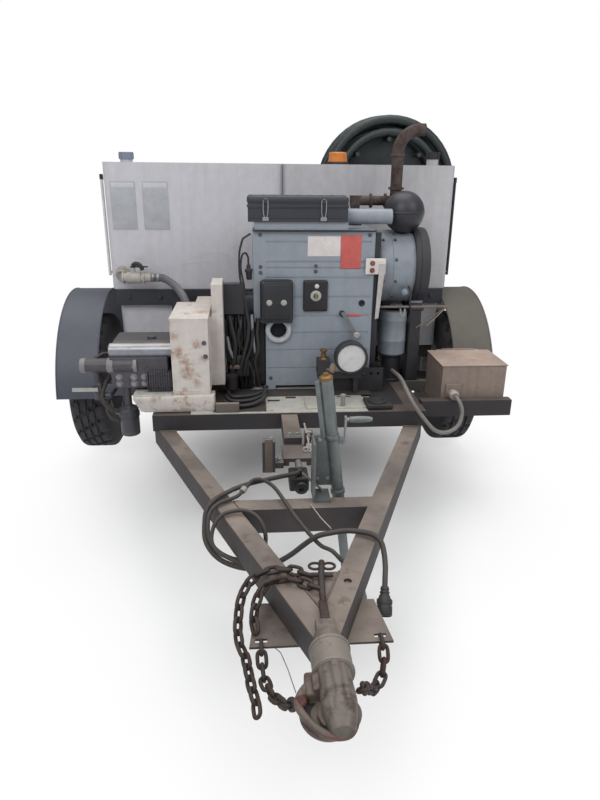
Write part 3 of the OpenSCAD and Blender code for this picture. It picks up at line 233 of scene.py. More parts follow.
# Moulded black nylon: an even, half-matt skin with a little dust.
plug_plastic = weathered("black_plug_plastic", "#1d1b1d", "#57524e", dusty=0.4, rusty=0.0, rough=0.55)
plug_way = WIRING[-1] - wiring_line[-2]
plug = turned("lighting_plug", WIRING[-1], plug_way,
              [(0, 0), (0, 10), (8, 12), (9, 10.5), (12, 10.5), (13, 12.5), (17, 13), (18, 11.5),
               (21, 11.5), (22, 14), (28, 15), (34, 20.5), (44, 20.5), (45, 19), (48, 19), (49, 20.5),
               (70, 20.5), (74, 18.5), (75, 15), (66, 14), (66, 0)], plug_plastic)
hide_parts("wiring_plug")
turned("lighting_cable_boot", at(0, 1056, 400), Vector((0, -1, 0)),
       [(0, 0), (0, 12), (4, 12), (5, 10.6), (8, 10.4), (9, 11), (12, 10.6), (13, 9.4),
        (16, 9.2), (17, 9.8), (20, 9.2), (24, 8.2), (24, 0)], plug_plastic)


# ---- Studio ----
# A pale floor that runs out to white, lit by three large soft lamps. Near the trailer the floor
# keeps its shadow, and further out it fades to the white of the backdrop.
bpy.ops.object.select_all(action="DESELECT")
bpy.ops.mesh.primitive_plane_add(size=60)
floor = bpy.context.object
floor.name = "floor"
floor_finish = new_material("pale_floor")
spread = add(floor_finish, "ShaderNodeMapping", {"Location": (0, 0.05, 0), "Scale": (0.62, 0.42, 0)},
             {"Vector": add(floor_finish, "ShaderNodeTexCoord").outputs["Object"]})
reach = add(floor_finish, "ShaderNodeVectorMath", {"operation": "LENGTH"}, {0: spread.outputs[0]})
fade = add(floor_finish, "ShaderNodeMapRange",
           {"interpolation_type": "SMOOTHSTEP", "From Min": 0.2, "From Max": 0.8, "To Min": 0.08,
            "To Max": 1.0}, {"Value": reach.outputs["Value"]})
floor_rays = add(floor_finish, "ShaderNodeLightPath")
seen_or_mirrored = add(floor_finish, "ShaderNodeMath", {"operation": "MAXIMUM"},
                       {0: floor_rays.outputs["Is Camera Ray"], 1: floor_rays.outputs["Is Glossy Ray"]})
shown = add(floor_finish, "ShaderNodeMath", {"operation": "MAXIMUM"},
            {0: seen_or_mirrored.outputs[0], 1: floor_rays.outputs["Is Transmission Ray"]})
fade_shown = add(floor_finish, "ShaderNodeMath", {"operation": "MULTIPLY"},
                 {0: fade.outputs[0], 1: shown.outputs[0]})
matt = add(floor_finish, "ShaderNodeBsdfDiffuse", {"Color": linear("#ececeb")})
white = add(floor_finish, "ShaderNodeEmission", {"Color": (1, 1, 1, 1), "Strength": 1.0})
blended = add(floor_finish, "ShaderNodeMixShader",
              links={0: fade_shown.outputs[0], 1: matt.outputs[0], 2: white.outputs[0]})
add(floor_finish, "ShaderNodeOutputMaterial", links={"Surface": blended.outputs[0]})
floor.data.materials.append(floor_finish)

world = bpy.data.worlds.new("studio")
bpy.context.scene.world = world
world.use_nodes = True
world.node_tree.nodes.clear()
sky = add(world, "ShaderNodeBackground", {"Color": linear("#f2f4f8"), "Strength": 0.42})
backdrop = add(world, "ShaderNodeBackground", {"Color": (1, 1, 1, 1), "Strength": 1.0})
rays = add(world, "ShaderNodeLightPath")
seen = add(world, "ShaderNodeMath", {"operation": "MAXIMUM"},
           {0: rays.outputs["Is Camera Ray"], 1: rays.outputs["Is Transmission Ray"]})
chosen = add(world, "ShaderNodeMixShader",
             links={0: seen.outputs[0], 1: sky.outputs[0], 2: backdrop.outputs[0]})
add(world, "ShaderNodeOutputWorld", links={"Surface": chosen.outputs[0]})
bpy.context.scene.view_settings.view_transform = "Standard"
for place, size, power in [((-2.5, -4.5, 4.5), 3.5, 165), ((3.0, -3.0, 4.0), 3.5, 90),
                           ((0, 1.0, 5.5), 5.0, 165)]:
    bpy.ops.object.light_add(type="AREA", location=place)
    lamp = bpy.context.object
    lamp.data.shape = "DISK"
    lamp.data.size = size
    lamp.data.energy = power
    lamp.rotation_euler = (Vector((0, 0, 0.7)) - lamp.location).to_track_quat("-Z", "Y").to_euler()


# ---- Tongue and frame tubes ----
# Rectangular steel tubes, welded and painted black, now faded and dusty on top, with a tan bloom.
# Weld beads run round the joints of the nose, and the sheet edges are folded round.
def paint(material, *names):
    for name in names:
        nodes[name].data.materials.clear()
        nodes[name].data.materials.append(material)


def rounded(width, *names, segments=3):
    """Rounds the sharp edges of CAD pieces by a width in millimetres, as a folded or cast edge is."""
    for name in names:
        piece = nodes[name]
        piece.modifiers.new("welded", "WELD").merge_threshold = 0.00002
        edge = piece.modifiers.new("rounded", "BEVEL")
        edge.width = width / 1000
        edge.segments = segments
        edge.limit_method = "ANGLE"
        edge.angle_limit = math.radians(40)
        edge.harden_normals = False
        piece.modifiers.new("shaded", "WEIGHTED_NORMAL").keep_sharp = True
        for polygon in piece.data.polygons:
            polygon.use_smooth = True


def joined(name, pieces):
    """Joins like small pieces into one object under one name."""
    bpy.ops.object.select_all(action="DESELECT")
    for piece in pieces:
        piece.select_set(True)
    bpy.context.view_layer.objects.active = pieces[0]
    bpy.ops.object.join()
    pieces[0].name = name
    return pieces[0]


def bead(name, line, radius, material, body="trailer", lumps=0.0):
    """A tube or weld bead along a line, made a mesh; lumps swells it from ring to ring."""
    piece = cable(name, line, radius, material, body)
    if lumps:
        for i, point in enumerate(piece.data.splines[0].points):
            point.radius = 1 + lumps * (i % 2)
    select_only(piece)
    bpy.ops.object.convert(target="MESH")
    bpy.ops.object.shade_smooth_by_angle(angle=math.radians(60))
    return bpy.context.object


# Black enamel on rolled tube: chalked to brown-black, dust lies thick on top, rust bleeds through.
tongue_paint = weathered("faded_black_tongue_enamel", "#2f2b2f", "#877b71", rust="#4a372e",
                         dusty=0.95, rusty=0.32, rough=0.7, runs=0.2)
# The same enamel further back, where less dust reaches it: darker, with fewer stains.
frame_paint = weathered("faded_black_frame_enamel", "#1c1b20", "#75685f", rust="#41302a",
                        dusty=0.75, rusty=0.25, rough=0.65, runs=0.15)
# Enamel under caked road dust: a dull brown-grey with no gloss left.
spine_paint = weathered("dust_caked_enamel", "#574e49", "#8f8278", rust="#5b4234",
                        dusty=0.95, rusty=0.35, rough=0.8)
paint(tongue_paint, "tongue_rail_left", "tongue_rail_right")
paint(frame_paint, "frame_rail_left", "frame_rail_right", "frame_crossmembers", "axle")
paint(tongue_paint, "tongue_members")
rounded(5.0, "tongue_rail_left", "tongue_rail_right", "frame_rail_left", "frame_rail_right")
rounded(3.0, "frame_crossmembers", "axle")
rounded(2.0, "tongue_members")

# Bare weld metal: rippled, dark, and rusty between the ripples.
weld_steel = weathered("rusty_weld_bead", "#4b433e", "#84776d", dusty=0.6, rusty=0.6, rough=0.7)
HALF_ANGLE, APEX_Y, RAIL_TOP, RAIL_LOW = math.radians(22.4), 302, 380, 300
SIDE = 30 / math.cos(HALF_ANGLE)


def spread_at(y):
    return (y - APEX_Y) * math.tan(HALF_ANGLE)


def weld(name, start, end, radius=3.0):
    count = max(4, int((Vector(end) - Vector(start)).length / 5))
    line = [at(*Vector(start).lerp(Vector(end), i / count)) for i in range(count + 1)]
    return bead(name, line, radius / 1000, weld_steel, lumps=0.35)


inner_apex = APEX_Y + SIDE / math.tan(HALF_ANGLE)
beads = [weld("seam", (0, 283, RAIL_TOP), (0, inner_apex - 4, RAIL_TOP), 3.5)]
for side in (-1, 1):
    for y in (842, 898):
        beads.append(weld("seam", (side * (spread_at(y) - SIDE - 1), y, RAIL_LOW + 4),
                          (side * (spread_at(y) - SIDE - 1), y, RAIL_TOP - 2)))
    near, far = spread_at(1450) - SIDE, spread_at(1450) + SIDE
    beads.append(weld("seam", (side * near, 1449, RAIL_TOP), (side * far, 1449, RAIL_TOP), 3.5))
GUSSET_BACK = 525
for side in (-1, 1):
    beads.append(weld("seam", (0, inner_apex, RAIL_TOP),
                      (side * (spread_at(GUSSET_BACK) - SIDE), GUSSET_BACK, RAIL_TOP), 2.5))
joined("tongue_weld_beads", beads)


# ---- Fixings of the spine tube ----
# Zinc-plated bolts hold the end box of the spine tube. A clamp and wire eyes stand on its right, a
# plate bracket on its left, and a black socket with a slanting steel tab hangs below it.
def block(name, low, high, material, round_by=2.0, body="trailer", segments=3):
    """A block between two corners in drawing millimetres, with its edges rounded."""
    low, high = at(*low), at(*high)
    bpy.ops.object.select_all(action="DESELECT")
    bpy.ops.mesh.primitive_cube_add(size=1, location=(low + high) / 2)
    bpy.context.object.scale = high - low
    bpy.ops.object.transform_apply(location=True, rotation=True, scale=True)
    bpy.ops.object.mode_set(mode="EDIT")
    bpy.ops.mesh.select_all(action="SELECT")
    bpy.ops.mesh.bevel(offset=round_by / 1000, segments=segments, affect="EDGES")
    bpy.ops.object.mode_set(mode="OBJECT")
    return settled(name, material, body)


def bolt(name, place, along, size, material, body="trailer", washer=True):
    """A hexagon bolt head of this size across, with its washer, seen from outside."""
    axis = Vector(along).normalized()
    turn = axis.to_track_quat("Z", "Y").to_euler()
    head_height = 0.62 * size
    corner_share, washer_height = 1.155, 1.5
    bpy.ops.object.select_all(action="DESELECT")
    middle = at(*place) + axis * (head_height / 2 + washer_height) / 1000
    bpy.ops.mesh.primitive_cylinder_add(vertices=6, radius=size / 2000 * corner_share,
                                        depth=head_height / 1000, location=middle, rotation=turn)
    bpy.ops.object.mode_set(mode="EDIT")
    bpy.ops.mesh.select_all(action="SELECT")
    bpy.ops.mesh.bevel(offset=size * 0.00006, segments=2, affect="EDGES")
    bpy.ops.object.mode_set(mode="OBJECT")
    head = settled(name, material, body)
    if not washer:
        return head
    ring = turned("washer", at(*place), axis,
                  [(0, 0), (0, size * 0.78), (1.2, size * 0.8), (1.8, size * 0.74), (1.8, 0)],
                  material, body, sides=24)
    return joined(name, [head, ring])


# Zinc plate on turned steel: a soft grey sheen, dulled to brown in spots.
zinc = weathered("dull_zinc_plate", "#8d9092", "#a7a39c", rust="#6f4f3a", dusty=0.35, rusty=0.25,
                 metal=0.55, rough=0.45, pit=0.25)
spine_bolts = [bolt("head", (x, y, z), way, 13, zinc) for x, y, z, way in [
    (-92, 1100, 490, (0, 0, 1)), (-64, 1105, 412, (0, 0, 1)), (44, 1150, 415, (0, 0, 1)),
    (-20, 1250, 440, (0, 0, 1)), (8, 1250, 440, (0, 0, 1))]]
joined("spine_bolts", spine_bolts)
# Bent steel wire and strip: pale with dust, lightly rusted.
eye_steel = weathered("pale_dusty_steel", "#a89f98", "#c0b5aa", rust="#7a5a46", dusty=0.5, rusty=0.3,
                      metal=0.2)
loops = []
for x, y, z, r in [(44, 1205, 462, 10), (62, 1190, 440, 9), (30, 1160, 425, 8)]:
    ring = [at(x + r * math.sin(a), y, z + r * math.cos(a)) for a in [k * math.tau / 20 for k in range(21)]]
    loops.append(bead("eye", ring, 0.0028, eye_steel))
loops.append(bead("stay", [at(28, 1215, 500), at(46, 1180, 420), at(64, 1130, 404)], 0.003, eye_steel))
joined("spine_eyes", loops)
# Moulded nylon: black, half-matt, dusty in its recesses.
black_plug = weathered("black_socket_moulding", "#1b1a1c", "#46413d", dusty=0.4, rusty=0.0, rough=0.55)
block("spine_socket", (-34, 1020, 338), (30, 1106, 386), black_plug, 6)
turned("spine_socket_ring", at(4, 1018, 358), Vector((0, -1, -0.2)),
       [(0, 0), (0, 18), (3, 21), (14, 21), (16, 17), (16, 9), (9, 8), (9, 0)], black_plug, sides=32)
select_only(block("spine_tab", (0, 925, 448), (112, 943, 451), spine_paint, 1))
bpy.ops.transform.rotate(value=math.radians(-44), orient_axis="Y", center_override=at(0, 934, 450))
bpy.ops.object.transform_apply(location=True, rotation=True, scale=True)
block("spine_clamp", (34, 1180, 415), (76, 1206, 432), eye_steel, 2)
block("spine_bracket", (-112, 1078, 380), (-86, 1084, 500), spine_paint, 2)


# ---- Coupler ----
# A cast steel ball coupler with a sliding collar. The upper half is one with the neck, and the
# lower jaw hangs on a pin at the front. Red paint is left on the lip and on the pin's head, and a
# lock bar with two wire eyes lies over the nose of the tongue.
BALL, BALL_R = at(0, 85, 390), 0.02985


def cast_copy(name, node, extras, voxel, passes, material, body, swell=0.0, narrow=1.0, ball=False):
    """A casting: a CAD piece and its extra lugs melted into one skin and smoothed. Its front can be
    drawn in sideways by the share narrow, and the place of the tow ball is cut out of it."""
    copy = nodes[node].copy()
    copy.data = nodes[node].data.copy()
    copy.modifiers.clear()
    bpy.context.scene.collection.objects.link(copy)
    for vertex in copy.data.vertices:
        if narrow < 1:
            share = min(1, max(0, (at(0, 168, 0).y - vertex.co.y) / 0.05))
            vertex.co.x = BALL.x + (vertex.co.x - BALL.x) * (1 - (1 - narrow) * share)
            vertex.co.y = min(vertex.co.y, BALL.y + (vertex.co.y - BALL.y) * 1.16)
    joined(name, [copy] + extras)
    select_only(copy)
    bpy.ops.object.mode_set(mode="EDIT")
    bpy.ops.mesh.select_all(action="SELECT")
    bpy.ops.mesh.remove_doubles(threshold=0.00002)
    bpy.ops.object.mode_set(mode="OBJECT")
    skin = copy.modifiers.new("skin", "REMESH")
    skin.mode = "VOXEL"
    skin.voxel_size = voxel / 1000
    bpy.ops.object.modifier_apply(modifier="skin")
    calm = copy.modifiers.new("calm", "SMOOTH")
    calm.factor = 0.5
    calm.iterations = passes
    bpy.ops.object.modifier_apply(modifier="calm")
    if swell:
        grown = copy.modifiers.new("grown", "DISPLACE")
        grown.strength = swell / 1000
        grown.mid_level = 0
        bpy.ops.object.modifier_apply(modifier="grown")
    if ball:
        bpy.ops.object.select_all(action="DESELECT")
        bpy.ops.mesh.primitive_uv_sphere_add(segments=48, ring_count=24, radius=BALL_R, location=BALL)
        cutter = bpy.context.object
        select_only(copy)
        hollow = copy.modifiers.new("hollow", "BOOLEAN")
        hollow.operation = "DIFFERENCE"
        hollow.object = cutter
        bpy.ops.object.modifier_apply(modifier="hollow")
        bpy.data.objects.remove(cutter)
    for polygon in copy.data.polygons:
        polygon.use_smooth = True
    copy.name = name
    copy.data.name = name
    copy.data.materials.clear()
    copy.data.materials.append(material)
    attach(copy, body)
    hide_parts(node)
    return copy


def bleed(material, spots, colour):
    """Tints a finish, as bleeding rust or old paint does, round places (x, y, z, size) in millimetres."""
    shader = next(n for n in material.node_tree.nodes if n.type == "BSDF_PRINCIPLED")
    last = shader.inputs["Base Color"].links[0].from_socket
    place = add(material, "ShaderNodeTexCoord").outputs["Object"]
    wobble = add(material, "ShaderNodeTexNoise", {"Scale": 70.0, "Detail": 6.0, "Roughness": 0.7},
                 {"Vector": place})
    for x, y, z, size in spots:
        away = add(material, "ShaderNodeVectorMath", {"operation": "DISTANCE", 1: at(x, y, z)}, {0: place})
        uneven = add(material, "ShaderNodeMath", {"operation": "MULTIPLY_ADD", 1: size / 450},
                     {0: wobble.outputs["Fac"], 2: away.outputs["Value"]})
        near = add(material, "ShaderNodeMapRange",
                   {"From Min": size / 480, "From Max": size / 1000, "To Max": 0.75},
                   {"Value": uneven.outputs[0]})
        last = add(material, "ShaderNodeMix", {"data_type": "RGBA", 7: linear(colour)},
                   {0: near.outputs[0], 6: last}).outputs[2]
    material.node_tree.links.new(last, shader.inputs["Base Color"])


# Sand-cast steel, worn: a grey-brown, pitted skin that shines a little where it is handled.
cast_rust = weathered("rusty_cast_steel", "#575049", "#877c73", rust="#3a2a22", dusty=0.5, rusty=0.55,
                      metal=0.2, rough=0.5, mottle=0.35, pit=0.9, pit_size=3)
# The same casting with the last of its red paint: pitted brown, tinted red at lip and pin.
jaw_rust = weathered("red_rusty_cast_steel", "#574c45", "#82756b", rust="#40231c", dusty=0.4, rusty=0.6,
                     metal=0.1, rough=0.55, mottle=0.35, pit=0.9, pit_size=3)
bleed(jaw_rust, [(-10, 34, 380, 26), (-74, 112, 386, 16)], "#6d2b27")
lug = block("lug", (-9, 285, 381), (9, 322, 399), cast_rust, 3)
SHOULDER = ((1, 182, 404), (1, 130, 408), (1.1, 92, 410), (0.8, 62, 402), (0.3, 44, 392))
shoulders = [bead("shoulder", [at(x * share, y, z) for share, y, z in SHOULDER], 0.02, cast_rust)
             for x in (-14, 12)]
shoulders.append(bead("back", [at(0, 184, 413), at(0, 130, 416), at(0, 92, 416), at(-2, 66, 404),
                               at(-2, 50, 393)], 0.017, cast_rust))
bpy.ops.object.select_all(action="DESELECT")
bpy.ops.mesh.primitive_uv_sphere_add(segments=32, ring_count=16, radius=1, location=at(-3, 66, 392))
bpy.context.object.scale = (0.027, 0.037, 0.028)
shoulders.append(settled("nose", cast_rust))
cast_copy("coupler_casting", "coupler_body", [lug] + shoulders, 1.6, 7, cast_rust, "trailer", swell=0.4,
          narrow=0.74, ball=True)
# Flaking red enamel: dark red islands on brown steel.
flaked_red = weathered("flaked_red_enamel", "#5e2622", "#7d6059", rust="#36201b", dusty=0.3, rusty=0.8,
                       rough=0.55, mottle=0.3)
turned("coupler_pin_head", at(-70, 112, 388), Vector((-0.5, -0.3, 1)),
       [(0, 0), (0, 12), (3, 13), (7, 11), (9, 0)], flaked_red, "jaw", sides=24)
RIM = [(-44, 156, 388), (-58, 148, 389), (-70, 130, 388), (-76, 108, 386), (-64, 80, 385), (-46, 56, 384),
       (-28, 42, 384), (-8, 37, 383), (12, 41, 383), (24, 58, 384), (29, 84, 386), (28, 110, 388),
       (24, 134, 388)]
rim = bead("rim", eased([at(*p) for p in RIM], 5), 0.008, jaw_rust, "jaw")
bpy.ops.object.select_all(action="DESELECT")
bpy.ops.mesh.primitive_uv_sphere_add(segments=48, ring_count=24, radius=1, location=at(-22, 92, 382))
bpy.context.object.scale = (0.054, 0.057, 0.036)
bpy.ops.object.transform_apply(location=True, rotation=True, scale=True)
bpy.ops.object.mode_set(mode="EDIT")
bpy.ops.mesh.select_all(action="SELECT")
bpy.ops.mesh.bisect(plane_co=at(0, 88, 377), plane_no=(0, 0, 1), use_fill=True, clear_outer=True)
bpy.ops.object.mode_set(mode="OBJECT")
bowl = settled("bowl", jaw_rust, "jaw")
flange = block("flange", (-60, 120, 374), (-34, 178, 400), jaw_rust, 6, "jaw")
cast_copy("coupler_jaw_casting", "coupler_jaw", [rim, bowl, flange], 1.8, 4, jaw_rust, "jaw", ball=True)
# Painted shade in the jaw's hollow: a nearly black disc, with a slight sheen.
shadow = weathered("painted_shade_coupler_hollow", "#141112", "#1f1a19", rust="#2a1714", dusty=0.2, rusty=0.4,
                   rough=0.6)
bpy.ops.object.select_all(action="DESELECT")
bpy.ops.mesh.primitive_circle_add(vertices=48, radius=1, fill_type="NGON", location=at(-22, 92, 378.4))
bpy.context.object.scale = (0.05, 0.052, 1)
bpy.ops.object.transform_apply(location=True, rotation=True, scale=True)
bpy.ops.object.mode_set(mode="EDIT")
bpy.ops.mesh.select_all(action="SELECT")
bpy.ops.mesh.inset(thickness=0.019)
bpy.ops.mesh.delete(type="FACE")
bpy.ops.object.mode_set(mode="OBJECT")
settled("painted_shade_in_jaw", shadow, "jaw")
# Turned steel, bare: grey, dusty, with brown spots.
paint(weathered("dusty_bare_collar_steel", "#736c65", "#938a80", rust="#5b3b2c", dusty=0.6, rusty=0.5,
                metal=0.25, rough=0.6), "coupler_collar")
rounded(4.0, "coupler_collar")
rims = [turned("rim", at(0, y, 390), Vector((0, 1, 0)),
               [(0, 41), (0, 43.2), (2, 44), (6, 44), (8, 43.2), (8, 41)],
               nodes["coupler_collar"].data.materials[0], "collar") for y in (174, 236)]
joined("collar_rims", rims)
# Forged bar, rusted all over: dark brown and matt.
bar_steel = weathered("rusty_lock_bar", "#2a2524", "#5a504a", rust="#38261f", dusty=0.5, rusty=0.8,
                      metal=0.2)
stay = [bead("bar", [at(*p) for p in [(17, 545, 396), (10, 490, 394), (6, 438, 392), (4, 370, 391)]],
             0.008, bar_steel)]
for x, y in ((-1, 534), (34, 532)):
    ring = [at(x + 15 * math.sin(a), y + 13 * math.cos(a), 392)
            for a in [k * math.tau / 20 for k in range(21)]]
    stay.append(bead("eye", ring, 0.0035, bar_steel))
stay.append(bead("crossbar", [at(-14, 500, 391), at(40, 496, 391)], 0.006, bar_steel))
stay.append(block("latch", (-8, 330, 390), (12, 392, 401), bar_steel, 3))
joined("lock_bar", stay)


# ---- Safety chains ----
# Welded steel links of 8 mm wire, dark with rust. The left chain lies over the nose and hangs down
# to the coupler, and each chain starts at a link through a slot of the chain plate.
def round_links(name, node, material):
    """The same links as the CAD piece, with their wire made round."""
    copy = nodes[node].copy()
    copy.data = nodes[node].data.copy()
    copy.name = name
    bpy.context.scene.collection.objects.link(copy)
    select_only(copy)
    bpy.ops.object.mode_set(mode="EDIT")
    bpy.ops.mesh.select_all(action="SELECT")
    bpy.ops.mesh.remove_doubles(threshold=0.00002)
    bpy.ops.mesh.tris_convert_to_quads(face_threshold=math.radians(60), shape_threshold=math.radians(100))
    bpy.ops.transform.shrink_fatten(value=0.0017)
    bpy.ops.object.mode_set(mode="OBJECT")
    finer = copy.modifiers.new("finer", "SUBSURF")
    finer.levels = 2
    finer.render_levels = 2
    bpy.ops.object.modifier_apply(modifier="finer")
    for polygon in copy.data.polygons:
        polygon.use_smooth = True
    copy.data.materials.clear()
    copy.data.materials.append(material)
    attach(copy, "trailer")
    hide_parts(node)


# Welded wire links: dark rust, pitted, a little polished where links rub.
chain_rust = weathered("rusty_chain_steel", "#2b2321", "#5d5048", rust="#3d271f", dusty=0.45, rusty=0.6,
                       metal=0.15, rough=0.65, mottle=0.35, pit=0.8, pit_size=3)
round_links("chain_links_left", "chain_left", chain_rust)
round_links("chain_links_right", "chain_right", chain_rust)


# ---- Jack ----
# A swivel jack of galvanised tube: an outer tube with a brass cap and a side crank, a sliding leg
# with a pressed foot, and a folded bracket that is bolted to the spine tube.

# Hot-dip galvanised tube: blue-grey with faint patches and brown runs.
galvanised = weathered("galvanised_tube", "#6c7274", "#92928a", rust="#665a46", dusty=0.35, rusty=0.3,
                       metal=0.5, rough=0.42, mottle=0.22, runs=0.25, pit=0.2)
paint(galvanised, "jack_tube", "jack_leg")
paint(zinc, "jack_crank")
rounded(1.5, "jack_tube", "jack_leg", "jack_crank")
LEAN = math.radians(7)
JACK_WAY = Vector((-math.sin(LEAN), 0, math.cos(LEAN)))


def on_jack(height):
    return at(160, 950, 0) + JACK_WAY * height / 1000


# Turned brass, tarnished: brown-yellow with a soft shine.
brass = weathered("dull_brass", "#7c6038", "#937e5e", rust="#5e4a30", dusty=0.3, rusty=0.3, metal=0.7,
                  rough=0.45)
turned("jack_cap", on_jack(753), JACK_WAY,
       [(0, 0), (0, 20), (3, 20.5), (9, 20.5), (12, 16), (13, 9), (20, 8), (20, 0)], brass)
for height in (372, 560):
    turned("jack_band_%d" % height, on_jack(height), JACK_WAY,
           [(0, 19), (0, 21.5), (1.5, 22.5), (14, 22.5), (15.5, 21.5), (15.5, 19)], galvanised)
turned("jack_crank_grip", at(141, 950, 618), Vector((1, 0, 0)),
       [(0, 0), (0, 8), (2, 10), (8, 9), (30, 10.5), (60, 9), (71, 6), (71, 0)], galvanised, "crank")
# Painted shade inside the folded bracket: dark and matt.
jack_shade = weathered("shaded_jack_slot", "#232426", "#3d3b38", dusty=0.3, rusty=0.2)
block("jack_bracket_painted_shade", (46, 946.6, 448), (80, 949.6, 542), jack_shade, 1)
joined("jack_bolts", [bolt("head", (x, 949, z), (0, -1, 0), 12, zinc)
                      for x, z in [(46, 425), (78, 425), (52, 556)]])


# ---- Deck and base rails ----
# A painted deck plate on the front crossmember, with a folded base rail that carries the belt guard
# and the pump. The paint is stained, and rust bleeds from its bolts and scratches.

# Pale enamel on plate: grey-green, walked on, with brown runs.
deck_cream = weathered("pale_deck_enamel", "#a3a49e", "#b5b1a7", rust="#7b5a42", dusty=0.6, rusty=0.3,
                       runs=0.3)
paint(deck_cream, "deck_plate")
rounded(2.0, "deck_plate")
# Cream enamel on folded sheet: a smooth half-gloss, stained tan by bleeding rust.
cream = weathered("stained_cream_enamel", "#beb8b3", "#cabfb4", rust="#8a6546", dusty=0.5, rusty=0.42,
                  rough=0.55, runs=0.18, mottle=0.1)
bleed(cream, [(-436, 1490, 742, 22), (-350, 1490, 712, 26), (-392, 1490, 600, 34), (-404, 1490, 645, 24),
              (-330, 1490, 655, 18), (-420, 1490, 690, 22), (-360, 1490, 560, 24), (-340, 1600, 808, 40),
              (-420, 1520, 512, 30), (-520, 1480, 505, 24)], "#8a6548")
rail = block("base_rail_cover", (-601, 1473, 451), (-293, 1534, 514), cream, 5)
select_only(rail)
bpy.ops.object.mode_set(mode="EDIT")
bpy.ops.mesh.select_all(action="SELECT")
bpy.ops.mesh.bisect(plane_co=at(-602, 1500, 505), plane_no=Vector((-0.86, 0, -0.5)).normalized(),
                    use_fill=True, clear_outer=True)
bpy.ops.object.mode_set(mode="OBJECT")
block("deck_lagging", (-290, 1456, 449.5), (-200, 1474, 486), spine_paint, 3)


# ---- Wheels and tyres ----
# Pressed steel wheels in silver enamel on five-stud hubs, with road tyres whose blocks are cut by
# ribs and cross grooves. The tyres are dusty and grey with age.

# Moulded tyre rubber: grey-black, matt, with dust on its shoulders.
tyre_rubber = weathered("dusty_tyre_rubber", "#343236", "#615d5a", rust="#454240", dusty=0.5, rusty=0.25,
                        rough=0.85, mottle=0.2, pit=0.5, pit_size=5)
# Silver enamel on pressed steel: a fine metallic grey, chipped to rust.
wheel_silver = weathered("silver_wheel_enamel", "#8b8d90", "#9c9790", rust="#6b4632", dusty=0.4,
                         rusty=0.35, metal=0.3)
paint(wheel_silver, "wheel_left", "wheel_right")
rounded(2.0, "wheel_left", "wheel_right")
WHEEL_Y, WHEEL_Z, TYRE_R, TYRE_W, BEAD_R = 2250, 330, 330, 172, 178
TREAD_STEPS = 96
half = TYRE_W / 2
tread = [(-half + 11, BEAD_R), (-half + 7, BEAD_R + 14), (-half + 2, BEAD_R + 50), (-half, TYRE_R - 60),
         (-half + 6, TYRE_R - 24), (-half + 17, TYRE_R - 6), (-half + 24, TYRE_R - 2), (-54, TYRE_R - 1),
         (-37, TYRE_R), (-35, TYRE_R - 8), (-29, TYRE_R - 8), (-27, TYRE_R), (-5, TYRE_R), (-3, TYRE_R - 8),
         (3, TYRE_R - 8), (5, TYRE_R), (27, TYRE_R), (29, TYRE_R - 8), (35, TYRE_R - 8), (37, TYRE_R),
         (54, TYRE_R - 1), (half - 24, TYRE_R - 2), (half - 17, TYRE_R - 6), (half - 6, TYRE_R - 24),
         (half, TYRE_R - 60), (half - 2, BEAD_R + 50), (half - 7, BEAD_R + 14), (half - 11, BEAD_R),
         (-half + 11, BEAD_R)]
for side, x in (("left", -897), ("right", 847)):
    tyre = turned("road_tyre_" + side, at(x, WHEEL_Y, WHEEL_Z), Vector((1, 0, 0)), tread, tyre_rubber,
                  "wheel_%s_body" % side, sides=TREAD_STEPS, angle=30)
    select_only(tyre)
    hub = at(x, WHEEL_Y, WHEEL_Z)
    bpy.ops.object.mode_set(mode="EDIT")
    grid = bmesh.from_edit_mesh(tyre.data)
    for face in grid.faces:
        spot = face.calc_center_median() - hub
        step = int(math.atan2(spot.z, spot.y) / math.tau * TREAD_STEPS + TREAD_STEPS) % TREAD_STEPS
        radius = math.hypot(spot.y, spot.z) * 1000
        row = int((spot.x * 1000 + half) // 32)
        face.select_set(radius > TYRE_R - 5 and (step + row) % 4 == 0)
    bmesh.update_edit_mesh(tyre.data)
    bpy.ops.mesh.extrude_region_shrink_fatten(TRANSFORM_OT_shrink_fatten={"value": -0.007})
    bpy.ops.object.mode_set(mode="OBJECT")
    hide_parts("tyre_" + side)
    outwards = 1 if side == "right" else -1
    turned("hub_cap_" + side, at(x + 38 * outwards, WHEEL_Y, WHEEL_Z), Vector((outwards, 0, 0)),
           [(0, 0), (0, 31), (4, 33), (22, 31), (30, 22), (33, 0)], wheel_silver, "wheel_%s_body" % side)


# ---- Fenders ----
# Rolled sheet fenders over the wheels, with a wired edge on each side. The left one is blue-grey
# and the right one has turned brown-grey with road dust.

# Dark blue-grey enamel on rolled sheet: half-gloss, greyed on top.
fender_left_paint = weathered("blue_grey_fender_enamel", "#40434f", "#6d6e72", rust="#5c4a40", dusty=0.45,
                              rusty=0.2, rough=0.5)
# The same enamel under road dust: brown-grey and duller.
fender_right_paint = weathered("brown_grey_fender_enamel", "#514e48", "#736d62", rust="#5e4434", dusty=0.5,
                               rusty=0.3, rough=0.6)
FENDER_R, FENDER_LOW = 448.5, 388
sweep = math.asin((FENDER_LOW - WHEEL_Z) / FENDER_R)
for side, finish, edges in (("left", fender_left_paint, (-984, -810)),
                            ("right", fender_right_paint, (760, 934))):
    paint(finish, "fender_" + side)
    rounded(1.0, "fender_" + side, segments=2)
    wires = []
    for x in edges:
        arc = [sweep + (math.pi - 2 * sweep) * k / 48 for k in range(49)]
        line = [at(x, WHEEL_Y - FENDER_R * math.cos(a), WHEEL_Z + FENDER_R * math.sin(a)) for a in arc]
        wires.append(bead("wire", line, 0.004, finish))
    joined("fender_edges_" + side, wires)
